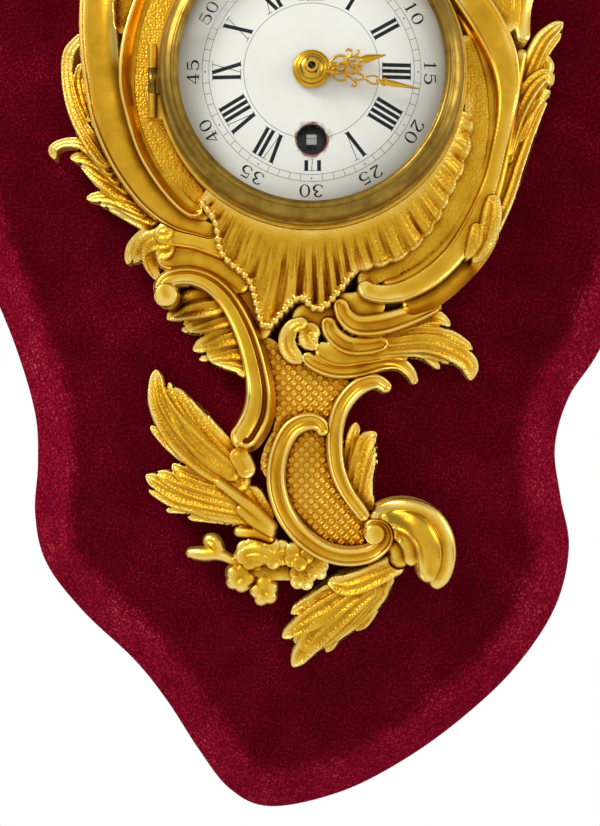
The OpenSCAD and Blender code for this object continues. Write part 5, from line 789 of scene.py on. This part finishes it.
# The VI that the winding hole cuts short: x, foot, width and lean of its strokes
CUT_SIX = [(-2.4, 5.9, BOLD, 0), (-.3, 5.6, FINE, .3), (1.7, 5.9, BOLD, 0)]
HOURS = ["I", "II", "III", "IIII", "V", "VI", "VII", "VIII", "IX", "X", "XI", "XII"]
DIGITS = {
    "0": [[(0, 3.65, .2), (-.75, 3.1, .4), (-1.0, 1.85, .6), (-.75, .6, .4), (0, .05, .2), (.75, .6, .4),
           (1.0, 1.85, .6), (.75, 3.1, .4), (0, 3.65, .2)]],
    "1": [[(0, 0, .55), (0, 3.7, .55)], [(-.65, 3.0, .2), (-.1, 3.6, .25)],
          [(-.7, .08, .18), (.7, .08, .18)]],
    "2": [[(-.95, 2.75, .5), (-.7, 3.4, .35), (0, 3.6, .25), (.8, 3.2, .45), (.85, 2.5, .6), (.2, 1.5, .45),
           (-.95, .3, .25)], [(-.95, .25, .4), (1.0, .25, .45), (1.05, .8, .2)]],
    "3": [[(-.9, 2.95, .5), (-.35, 3.55, .3), (.5, 3.4, .4), (.75, 2.75, .55), (.1, 2.05, .25)],
          [(.0, 2.05, .25), (.9, 1.6, .5), (.95, .75, .6), (.15, .08, .25), (-.8, .35, .3),
           (-.95, .85, .5)]],
    "4": [[(.4, 3.7, .22), (-1.15, 1.05, .22)], [(-1.15, 1.05, .25), (1.2, 1.05, .25)],
          [(.45, 3.7, .55), (.45, 0, .55)], [(-.2, .08, .18), (1.1, .08, .18)]],
    "5": [[(-.7, 3.45, .4), (.85, 3.5, .35)], [(-.75, 3.6, .2), (-.85, 1.95, .22)],
          [(-.85, 2.0, .25), (0, 2.35, .3), (.9, 1.8, .55), (.9, .75, .6), (.1, .08, .25), (-.8, .35, .3),
           (-.95, .85, .5)]],
    "6": [[(.85, 3.2, .45), (.2, 3.6, .25), (-.65, 3.0, .45), (-1.0, 1.6, .6), (-.6, .35, .4),
           (0, .05, .25), (.8, .45, .45), (.95, 1.2, .55), (.55, 1.95, .35), (0, 2.15, .25),
           (-.75, 1.7, .25)]],
}
HOUR_RING, HOUR_RADIUS, TRACK_IN, TRACK_OUT, MINUTE_RADIUS = 21.8, 22.7, 33.1, 35.3, 36.3
FIVE_MARK = [(0, 1.0, .45), (0, 1.45, .45)]
DIGIT_WIDE, DIGIT_TALL, DIGIT_BOLD, DIGIT_PITCH, DIGIT_STEP = 1.38, 1.07, 1.2, 4.3, .25
prints = Print()
for radius in (HOUR_RING, TRACK_IN, TRACK_OUT):
    prints.ring(radius, HAIRLINE)


def serif(clock, x, y, shift=0.0):
    ends = [(x - SERIF_HALF, y, SERIF_THIN), (x + SERIF_HALF, y, SERIF_THIN)]
    prints.glyph(clock, HOUR_RADIUS, ends, shift)


for k, hour in enumerate(HOURS):
    clock = 30 * (k + 1)
    if hour == "VI":
        for x, low, width, lean in CUT_SIX:
            prints.glyph(clock, HOUR_RADIUS, [(x, low, width), (x + lean, TALL, width)])
            serif(clock, x, TALL - SERIF_IN)
        continue
    at = -sum(ROMAN[c][0] for c in hour) / 2
    for c in hour:
        step, lines, tops, feet = ROMAN[c]
        middle = at + step / 2
        at += step
        for line in lines:
            prints.glyph(clock, HOUR_RADIUS, line, middle)
        for y, places in ((SERIF_IN, feet), (TALL - SERIF_IN, tops)):
            for x in places:
                serif(clock, x, y, middle)
for m in range(60):
    if m % 5:
        prints.glyph(6 * m, TRACK_IN, [(0, 0, HAIRLINE), (0, TRACK_OUT - TRACK_IN, HAIRLINE)])
    else:
        prints.glyph(6 * m, TRACK_IN, FIVE_MARK)
        digits = str(m or 60)
        for k, c in enumerate(digits):
            shift = 0 if len(digits) == 1 else (k - .5) * DIGIT_PITCH
            for line in DIGITS[c]:
                wide = [(x * DIGIT_WIDE, y * DIGIT_TALL, w * DIGIT_BOLD) for x, y, w in line]
                smooth = curve(wide, DIGIT_STEP) if len(line) > 3 else wide
                prints.glyph(6 * m, MINUTE_RADIUS, smooth, shift)
dial_print = prints.done("dial_print")
CHIP_POINTS, CHIP_THICK = 96, .012


def chip_ring(name, inner, outer, lift):
    """An irregular ring around the winding hole, on the enamel."""
    a = np.linspace(0, 2 * math.pi, CHIP_POINTS + 1)[:-1]
    points = []
    for radius, up in ((inner, lift), (outer(a), lift), (outer(a), -INK), (inner, -INK)):
        x, z = radius * np.cos(a), HOLE_Z + radius * np.sin(a)
        points += list(on_board(x, z, dial_height(x, z) + up))
    return mesh_object(name, points, wrapped(4, len(a)).tolist(), smooth=False)


def chip_edge(a):
    return (5.9 + .45 * np.sin(3 * a + .6) + .35 * np.sin(7 * a)
            + .2 * np.sin(15 * a + 1) + .35 * np.cos(a))


def copper_edge(a):
    return (5.32 + .2 * np.sin(4 * a + 2) + .14 * np.sin(9 * a + 1)
            + .25 * np.maximum(0, -np.sin(a - .4)))


chipped = chip_ring("dial_chip", HOLE_RADIUS, chip_edge, CHIP_THICK)
copper = chip_ring("dial_copper_rim", HOLE_RADIUS, copper_edge, INK)

# Bezel and its domed glass
BEZEL = [
    (44.6, 36.3), (49.2, 36.3), (49.5, 36.5), (49.5, 38.7), (49.3, 38.95), (48.9, 39.05), (48.85, 39.4),
    (48.9, 40.2), (48.7, 41.2), (48.25, 42.3), (47.5, 43.3), (46.6, 44.05), (45.7, 44.5), (45.1, 44.6),
    (44.95, 44.75), (44.9, 45.2), (44.65, 45.55), (44.2, 45.75), (43.7, 45.7), (43.3, 45.45), (43.05, 45.1),
    (42.95, 44.75), (42.7, 44.6), (42.5, 44.4), (42.5, 43.3), (44.6, 42.7)]
KNUCKLE_RADIUS, KNUCKLE_SPAN, HINGE_HEIGHT = 1.5, 7.8, 37.5
TONGUE_LONG, TONGUE_LOW, TONGUE_HIGH = 2.6, 36.8, 38.2        # from the knuckle to the ring
GLASS_RADIUS, GLASS_RISE, GLASS_FRONT, GLASS_REAR = 44.5, 11, 42.3, 40.8
FOOT_CIRCLE, FOOT_RADIUS, FOOT_LOW, FOOT_HIGH = 36.0, 1.2, 26, 36.8
ARBOR_RADIUS, ARBOR_LOW, ARBOR_HIGH = 1.2, 45.42, 45.6
AXIS = .02                   # radius that stands for none, mm


def arc_profile(rim, rise, base, steps=40):
    """Half the section of a dome, from its axis to its rim."""
    ball = (rim * rim + rise * rise) / (2 * rise)
    a = np.linspace(0, math.asin(rim / ball), steps)
    return [(max(ball * math.sin(t), AXIS), base + rise - ball * (1 - math.cos(t))) for t in a]


def joined(name, *parts):
    """One object from several sets of points and faces."""
    faces, start = [], 0
    for p, f in parts:
        faces += [[int(v) + start for v in q] for q in f]
        start += len(p)
    return mesh_object(name, np.vstack([p for p, _ in parts]), faces)


def rod(x, h, z0, z1, r, sides=32):
    """A round bar along Z at x and a height over the velvet."""
    a = np.arange(sides) * 2 * math.pi / sides
    points = np.vstack([on_board(x + r * np.cos(a), np.full(sides, z), h + r * np.sin(a))
                        for z in (z0, z1)])
    faces = [[i, sides + i, sides + (i + 1) % sides, (i + 1) % sides] for i in range(sides)]
    return points, faces + [list(range(sides)), [2 * sides - 1 - i for i in range(sides)]]


def block(x0, x1, h0, h1, z0, z1):
    points = on_board(np.array([x0, x1] * 4), np.array([z0, z0, z1, z1] * 2), np.array([h0] * 4 + [h1] * 4))
    return points, [[0, 1, 3, 2], [4, 6, 7, 5], [0, 4, 5, 1], [2, 3, 7, 6], [0, 2, 6, 4], [1, 5, 7, 3]]


def post(x, z, low, high, r):
    """A round bar that stands off the wall at x and z."""
    points, quads = lathe([(AXIS, low), (r, low), (r, high), (AXIS, high)], 32)
    return points + np.array([x, 0, z]) * MM, quads


feet = [(FOOT_CIRCLE * math.cos(a), FOOT_CIRCLE * math.sin(a)) for a in np.radians([30, 150, 270])]
dial_feet = joined("dial_feet", *(post(x, z, FOOT_LOW, FOOT_HIGH, FOOT_RADIUS) for x, z in feet))
# a disc at the arbor's end in dark steel: painted shade for the hole at the cannon's end
arbor_end_shade = joined("arbor_end_shade", post(0, 0, ARBOR_LOW, ARBOR_HIGH, ARBOR_RADIUS))
knuckle = HINGE_Z - KNUCKLE_SPAN / 2, HINGE_Z + KNUCKLE_SPAN / 2
bezel = joined("moulded_bezel", lathe(BEZEL), rod(HINGE_X, HINGE_HEIGHT, *knuckle, KNUCKLE_RADIUS),
               block(HINGE_X, HINGE_X + TONGUE_LONG, TONGUE_LOW, TONGUE_HIGH, *knuckle))
front, rear = (arc_profile(GLASS_RADIUS, GLASS_RISE, base) for base in (GLASS_FRONT, GLASS_REAR))
glass = joined("domed_glass", lathe(front + rear[::-1], 128))

# Hands: pierced gilt blades along X, each stroke its points and width; one above the axis is mirrored below
HAND_PITCH = .13
HOUR_BASE, MINUTE_BASE, HAND_THICK, HAND_THIN = 41.6, 43.1, .8, .35
HOUR_BLADE = [
    ((5.2, 0), (8.6, 0), 1.5),
    ((6.0, .6), (7.6, 2.0), (9.6, 2.5), (11.2, 1.7), (10.6, .6), .75),
    ((8.6, 0), (10.4, .2), (12.4, 1.4), (13.6, 3.0), (12.6, 4.0), (11.6, 3.4), .7),
    ((12.4, 1.4), (14.2, 1.5), (15.8, 2.5), (15.2, 3.4), .65),
    ((10.8, 0), (14.6, 0), .9),
    ((14.2, 1.5), (15.8, .6), (16.6, 0), (15.8, -.6), (14.2, -1.5), .7),
    ((16.0, 0), (17.6, 0), (19.4, 0), (21.6, 0), (24.2, 0), (1.0, 2.5, 2.1, 1.2, .3))]
MINUTE_BLADE = [
    ((4.2, 0), (8.2, 0), 1.3),
    ((6.4, .5), (8.0, 2.0), (10.0, 2.3), (11.4, 1.4), (10.6, .5), .7),
    ((8.2, 0), (11.0, .1), (13.4, 1.2), (15.0, 2.3), (14.2, 3.2), (13.2, 2.6), .65),
    ((13.4, 1.2), (15.6, .9), (17.2, .2), .6),
    ((17.0, 0), (18.6, .9), (20.4, 1.3), (21.8, .5), (20.8, 0), .55),
    ((20.8, 0), (22.4, 0), .9),
    ((22.4, .5), (23.8, 1.1), (24.6, .2), .5),
    ((22.0, 0), (24.2, 0), (26.6, 0), (30.0, 0), (34.9, 0), (.8, 1.5, 1.9, 1.1, .3))]
COLLET = [(2.04, 43.92), (4.0, 43.92), (4.0, 44.15), (3.85, 44.55), (3.5, 44.95), (3.05, 45.25),
          (2.6, 45.44), (2.25, 45.5), (2.04, 45.48)]


def hand(name, base, blade, boss, bore, clock):
    """A pierced blade on a grooved boss, turned to its clock angle (degrees)."""
    relief = Relief((-boss - 1, -boss - 1), (36, boss + 1), HAND_PITCH, (-20, -20))
    for *line, width in blade:
        widths = width if isinstance(width, tuple) else (width,) * len(line)
        across = [y for _, y in line]
        for side in (1, -1) if min(across) >= 0 < max(across) else (1,):
            knots = [(x, side * y, HAND_THICK, w) for (x, y), w in zip(line, widths)]
            relief.stroke("stem", HAND_THICK, knots, 0)
    r = np.hypot(relief.X, relief.Z)
    # the boss, with a groove around it
    dome = HAND_THICK - .5 * ease((abs(r - boss + 1.3) - .5) / .7) * (r > boss - 2.2)
    relief.lay(ALL, boss - r, np.maximum(dome, .45), np.zeros(r.shape), .9)
    relief.finish(r - bore)
    relief.height = np.clip(relief.height, HAND_THIN, HAND_THICK)
    relief.low = np.zeros(r.shape)
    turn = math.radians(90 - clock)
    c, s = math.cos(turn), math.sin(turn)

    def place(x, y, h):
        return on_board(x * c - y * s, x * s + y * c, base + h)
    # by height, thin parts painted darker and full parts lighter: painted shade and highlight, as on the
    # castings
    fields = [("polish", np.full(r.shape, .75)), ("patina_shade_and_highlight", relief.height - .55)]
    return solid_from(name, relief, place, fields)


hour_hand = hand("pierced_hour_hand", HOUR_BASE, HOUR_BLADE, boss=6.1, bore=3.24, clock=79.6)
minute_hand = hand("pierced_minute_hand", MINUTE_BASE, MINUTE_BLADE, boss=4.88, bore=2.04, clock=101.2)
collet = joined("domed_collet", lathe(COLLET, 96))

# Velvet stretched over the board: rings from the rear edge over the bevel to the pocket, and back inside
POCKET = 38.0
OVER_EDGE = [           # out from the board's outline, depth, share of the painted sheen on the bevel
    (1.2, 1.0, 1), (1.2, 8.6, 1), (1.12, 9.5, 1), (.8, 10.25, 1), (.1, 10.9, 1), (-6, 14.75, 1),
    (-10.6, 17.85, .9), (-12.6, 18.75, .5), (-14, 19.1, .25), (-16, FACE, 0)]
UNDER_EDGE = [(-14, 18.02), (.02, 9.02), (.02, 1.0)]
outline = loop(OUTLINE, 8)
along = np.roll(outline, -1, axis=0) - np.roll(outline, 1, axis=0)
along /= np.hypot(*along.T)[:, None]
outward = np.column_stack([-along[:, 1], along[:, 0]])
bearing = np.arctan2(outline[:, 1], outline[:, 0])
circle = POCKET * np.column_stack([np.cos(bearing), np.sin(bearing)])
rings = [(outline + out * outward, depth, sheen_share) for out, depth, sheen_share in OVER_EDGE]
face_ring = rings[-1][0]
rings += [(face_ring + share * (circle - face_ring), FACE, 0) for share in (.25, .5, .75, 1.0)]
rings.append((circle, UNDER_EDGE[0][1], 0))
rings += [(outline + out * outward, depth, 0) for out, depth in UNDER_EDGE]
turns = len(outline)
points = np.vstack([np.column_stack([ring[:, 0], np.full(turns, -depth), ring[:, 1]]) * MM
                    for ring, depth, _ in rings])
# where the velvet's colour gets its painted sheen, by ring
bevel = np.repeat([sheen_share for _, _, sheen_share in rings], turns)
velvet = mesh_object("velvet_sheet", points, wrapped(len(rings), turns), [("bevel", bevel)])


def material(name, **values):
    m = bpy.data.materials.new(name)
    m.use_nodes = True
    tree = m.node_tree
    shader = tree.nodes["Principled BSDF"]
    for key, value in values.items():
        shader.inputs[key.replace("_", " ")].default_value = value
    return m, tree, shader


def node(tree, kind, values=(), **settings):
    made = tree.nodes.new(kind)
    for key, value in settings.items():
        setattr(made, key, value)
    for key, value in dict(values).items():
        made.inputs[key].default_value = value
    return made


def ramp(tree, *stops):
    made = tree.nodes.new("ShaderNodeValToRGB")
    elements = made.color_ramp.elements
    elements.remove(elements[1])
    elements[0].position, elements[0].color = stops[0][0], (*stops[0][1], 1)
    for place, colour in stops[1:]:
        elements.new(place).color = (*colour, 1)
    return made


def noise(tree, coords, scale, detail=4.0, rough=.6):
    made = node(tree, "ShaderNodeTexNoise", {"Scale": scale, "Detail": detail, "Roughness": rough})
    tree.links.new(coords.outputs["Object"], made.inputs["Vector"])
    return made


def scaled(tree, source, low, high, to_low, to_high):
    made = node(tree, "ShaderNodeMapRange",
                {"From Min": low, "From Max": high, "To Min": to_low, "To Max": to_high})
    tree.links.new(source, made.inputs["Value"])
    return made.outputs["Result"]


def tinted(tree, shader, coords, scale, rough, *tones):
    """Lets the base colour wander between tones by a noise, which comes back."""
    cloud = noise(tree, coords, scale, 5, rough)
    colour = ramp(tree, *tones)
    tree.links.new(cloud.outputs["Fac"], colour.inputs["Fac"])
    tree.links.new(colour.outputs["Color"], shader.inputs["Base Color"])
    return cloud


def bumped(tree, shader, height, strength, distance):
    made = node(tree, "ShaderNodeBump", {"Strength": strength, "Distance": distance})
    tree.links.new(height.outputs["Fac"], made.inputs["Height"])
    tree.links.new(made.outputs["Normal"], shader.inputs["Normal"])


def gilt_relief():
    """Fire gilding: burnished where the polish is high, stippled where it is low; darker in the hollows,
    partly patina and partly painted shade, and lighter on the ridges, a painted highlight.
    """
    m, tree, shader = material("gilt_relief", Metallic=1.0)
    link = tree.links.new
    coords = node(tree, "ShaderNodeTexCoord")
    patina_shade_and_highlight = node(tree, "ShaderNodeAttribute", attribute_name="patina_shade_and_highlight")
    polish = node(tree, "ShaderNodeAttribute", attribute_name="polish")
    patina = noise(tree, coords, 110, 5, .65)
    # the height map turns into colour: patina and painted shade in hollows, painted highlight on ridges
    spread = scaled(tree, patina_shade_and_highlight.outputs["Fac"], -2.7, 2.8, 0, 1)
    cloud = scaled(tree, patina.outputs["Fac"], .3, .7, -.1, .1)
    total = node(tree, "ShaderNodeMath", operation="ADD")
    link(spread, total.inputs[0])
    link(cloud, total.inputs[1])
    colour = ramp(tree, (0, (.14, .045, .0015)), (.25, (.37, .145, .006)), (.46, (.66, .345, .019)),
                  (.62, (.79, .465, .038)), (1, (.93, .68, .17)))
    link(total.outputs[0], colour.inputs["Fac"])
    link(colour.outputs["Color"], shader.inputs["Base Color"])
    link(scaled(tree, polish.outputs["Fac"], 0, 1, .48, .27), shader.inputs["Roughness"])
    cells = node(tree, "ShaderNodeTexVoronoi", {"Scale": 1050, "Randomness": .75})
    link(coords.outputs["Object"], cells.inputs["Vector"])
    stipple = node(tree, "ShaderNodeBump", {"Distance": .0004}, invert=True)
    link(scaled(tree, polish.outputs["Fac"], .05, .4, .8, 0), stipple.inputs["Strength"])
    link(cells.outputs["Distance"], stipple.inputs["Height"])
    grain = noise(tree, coords, 1500, 2, .5)
    matt = node(tree, "ShaderNodeBump", {"Distance": .00012})
    link(scaled(tree, polish.outputs["Fac"], .3, .9, .6, .08), matt.inputs["Strength"])
    link(grain.outputs["Fac"], matt.inputs["Height"])
    link(stipple.outputs["Normal"], matt.inputs["Normal"])
    link(matt.outputs["Normal"], shader.inputs["Normal"])
    return m


def metal(name, dark, light, rough, scale=90.0):
    """A plain metal with a cloudy finish."""
    m, tree, shader = material(name, Metallic=1.0)
    coords = node(tree, "ShaderNodeTexCoord")
    cloud = tinted(tree, shader, coords, scale, .65, (.32, dark), (.68, light))
    dull = scaled(tree, cloud.outputs["Fac"], .3, .7, rough * 1.25, rough * .8)
    tree.links.new(dull, shader.inputs["Roughness"])
    bumped(tree, shader, noise(tree, coords, 700, 3), .05, .0002)
    return m


MIX_A, MIX_B, MIX_RESULT = 6, 7, 2     # the colour sockets of a Mix node


def velvet_cloth():
    """Crimson pile with pale lint: dark on the flat, and painted brighter across the bevels, a painted
    sheen.
    """
    m, tree, shader = material("crimson_velvet", Roughness=1.0, Sheen_Weight=.22, Sheen_Roughness=.3)
    link = tree.links.new
    shader.inputs["Sheen Tint"].default_value = (1, .02, .06, 1)
    shader.inputs["Specular IOR Level"].default_value = .03
    coords = node(tree, "ShaderNodeTexCoord")
    pile = noise(tree, coords, 45, 6, .7)
    lint = noise(tree, coords, 1300, 2, .6)
    total = node(tree, "ShaderNodeMath", operation="ADD")
    link(scaled(tree, pile.outputs["Fac"], .3, .7, .1, .4), total.inputs[0])
    link(scaled(tree, lint.outputs["Fac"], .38, .66, 0, .55), total.inputs[1])
    bevel = node(tree, "ShaderNodeAttribute", attribute_name="bevel")
    colour = ramp(tree, (.1, (.036, 0, .0014)), (.5, (.08, .0002, .0048)), (.8, (.16, .0015, .012)),
                  (1, (.30, .03, .045)))
    link(total.outputs[0], colour.inputs["Fac"])
    # painted sheen: the colour is multiplied brighter where the bevel attribute is set
    painted_sheen = node(tree, "ShaderNodeMix", {MIX_B: (2.2, 7, 2.8, 1)}, data_type="RGBA", blend_type="MULTIPLY")
    link(bevel.outputs["Fac"], painted_sheen.inputs["Factor"])
    link(colour.outputs["Color"], painted_sheen.inputs[MIX_A])
    link(painted_sheen.outputs[MIX_RESULT], shader.inputs["Base Color"])
    bumped(tree, shader, noise(tree, coords, 900, 3), .4, .0006)
    return m


def clouded(name, dark, light, rough, scale, bump=0.0, stretch=None, **values):
    """A matt or glazed surface whose colour wanders between two tones."""
    m, tree, shader = material(name, Roughness=rough, **values)
    coords = node(tree, "ShaderNodeTexCoord")
    cloud = tinted(tree, shader, coords, scale, .6, (.3, dark), (.7, light))
    if stretch:
        grain = node(tree, "ShaderNodeMapping", {"Scale": stretch})
        tree.links.new(coords.outputs["Object"], grain.inputs["Vector"])
        tree.links.new(grain.outputs["Vector"], cloud.inputs["Vector"])
    if bump:
        bumped(tree, shader, cloud, bump, .0004)
    return m


def clear_glass():
    """Thin clear glass: it lets light through and mirrors by its angle."""
    m, tree, shader = material("clear_glass")
    link = tree.links.new
    tree.nodes.remove(shader)
    clear = node(tree, "ShaderNodeBsdfTransparent", {"Color": (.985, .99, .985, 1)})
    mirror = node(tree, "ShaderNodeBsdfGlossy", {"Color": (1, 1, 1, 1), "Roughness": .02})
    angle = node(tree, "ShaderNodeFresnel", {"IOR": 1.1})
    mix = node(tree, "ShaderNodeMixShader")
    link(angle.outputs["Fac"], mix.inputs["Fac"])
    link(clear.outputs["BSDF"], mix.inputs[1])
    link(mirror.outputs["BSDF"], mix.inputs[2])
    link(mix.outputs["Shader"], tree.nodes["Material Output"].inputs["Surface"])
    return m


gilt = gilt_relief()
gilt_plain = metal("gilt_plain", (.55, .28, .02), (.86, .52, .06), .3)
brass_bezel = metal("olive_brass", (.19, .105, .014), (.42, .26, .045), .36, 140)
brass_bright = metal("bright_brass", (.84, .64, .28), (.96, .78, .42), .3)
brass = metal("movement_brass", (.55, .36, .09), (.72, .50, .17), .25)
steel = metal("steel", (.34, .34, .35), (.55, .55, .56), .3)
blued_steel_and_shade = metal("dark_steel", (.03, .03, .035), (.09, .085, .085), .35)
wood = clouded("board_wood", (.10, .048, .02), (.23, .12, .05), .6, 30, .3, (9, 1, .7))
enamel = clouded("white_enamel", (.80, .78, .72), (.86, .85, .80), .2, 45, Coat_Weight=.15)
ink = clouded("dial_ink", (.008, .009, .011), (.024, .026, .03), .6, 900, Specular_IOR_Level=.1)
chip = clouded("enamel_chip", (.50, .46, .40), (.78, .74, .68), .6, 900, .4)
copper_rim = clouded("chipped_copper", (.22, .05, .03), (.50, .17, .11), .55, 700, .4)
cloth = velvet_cloth()
pane = clear_glass()


def paint(o, m):
    o.data.materials.clear()
    o.data.materials.append(m)


for piece in castings:
    paint(piece, gilt)
# The other pieces: the body each rides, the node that it stands for, its slot and its material
for piece, body, replaced, slot, m in (
        (dial_piece, "clock_case", "dial", "enamel", enamel),
        (dial_print, "clock_case", None, "enamel", ink),
        (chipped, "clock_case", None, "enamel", chip),
        (copper, "clock_case", None, "enamel", copper_rim),
        (dial_feet, "clock_case", None, "enamel", copper_rim),
        # the arbor's end disc is dark steel as painted shade for the cannon's hole; the other dark steel
        # parts are blued
        (arbor_end_shade, "minute_arbor", None, "steel", blued_steel_and_shade),
        (bezel, "bezel", "bezel_ring", "bezel_brass", brass_bezel),
        (glass, "bezel", "bezel_glass", "glass", pane),
        (hour_hand, "hour_pipe", "hour_hand", "gilt_bronze", gilt),
        (minute_hand, "minute_arbor", "minute_hand", "gilt_bronze", gilt),
        (collet, "minute_arbor", "hand_collet", "gilt_bronze", gilt_plain),
        (velvet, "clock_case", "velvet_cover", "velvet", cloth)):
    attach(piece, body)
    if replaced:
        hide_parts(replaced)
    paint(piece, m)
# CAD nodes that aren't brass
FINISH = {
    gilt_plain: ["case_shell", "cannon_pinion"],
    brass_bright: ["glass_retainer"],
    brass_bezel: ["hinge_pin"],
    wood: ["board"],
    blued_steel_and_shade: ["hand_pin", "click_spring", "ratchet_wheel", "click"],
    steel: ["hanging_plate", "hanging_screws", "casting_studs", "stud_nuts", "plate_screws",
            "movement_screws", "mainspring", "barrel_arbor", "click_screw", "cock_screws", "hairspring",
            "regulator"],
}
plain = {n: m for m, names in FINISH.items() for n in names}
for name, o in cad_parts.items():
    paint(o, plain.get(name, brass))

# Stage: pale floor, soft studio light and the camera of the photograph; metres and watts
FLOOR_RADIUS, FLOOR_THICK, FLOOR_Z = .95, .01, -.56
LAMPS = [("key", (-.75, -.62, .7), .5, 10.0), ("fill", (.95, -.42, .15), .6, 3.5),
         ("low", (-.5, -.45, -.85), .5, 1.3)]
LAMP_TARGET = (0, 0, -.08)
SENSOR, LENS, CAMERA_PLACE = 36, 61.13, (-.00372, -.5092, -.110)
bpy.ops.mesh.primitive_cylinder_add(vertices=96, radius=FLOOR_RADIUS, depth=FLOOR_THICK,
                                    location=(0, 0, FLOOR_Z))
floor = bpy.context.object
floor.name = "floor"
paint(floor, clouded("pale_floor", (.74, .74, .73), (.78, .78, .77), .8, 3))
floor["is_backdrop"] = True
scene = bpy.context.scene
world = bpy.data.worlds.new("studio")
world.use_nodes = True
scene.world = world
sky = world.node_tree
direction = node(sky, "ShaderNodeTexCoord")
parts = node(sky, "ShaderNodeSeparateXYZ")
sky.links.new(direction.outputs["Generated"], parts.inputs["Vector"])
tone = ramp(sky, (0, (.88, .88, .86)), (.12, (.76, .76, .74)), (.25, (.32, .32, .32)),
            (.42, (.16, .16, .16)), (.56, (1, 1, 1)), (1, (1, 1, 1)))
sky.links.new(scaled(sky, parts.outputs["Y"], -1, 1, 0, 1), tone.inputs["Fac"])
sky.links.new(tone.outputs["Color"], sky.nodes["Background"].inputs["Color"])
for name, place, size, power in LAMPS:
    light = bpy.data.lights.new(name, "AREA")
    light.shape, light.size, light.energy = "DISK", size, power
    lamp = bpy.data.objects.new(name, light)
    scene.collection.objects.link(lamp)
    lamp.location = place
    x, y, z = np.array(place) - LAMP_TARGET
    lamp.rotation_euler = (math.atan2(math.hypot(x, y), z), 0, math.atan2(y, x) + math.pi / 2)
camera = bpy.data.cameras.new("photo_camera")
camera.sensor_width, camera.lens, camera.clip_start = SENSOR, LENS, .01
view = bpy.data.objects.new("photo_camera", camera)
scene.collection.objects.link(view)
view.location = CAMERA_PLACE
view.rotation_euler = (math.pi / 2, 0, 0)
scene.camera = view
scene.view_settings.view_transform = "Standard"

low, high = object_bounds()
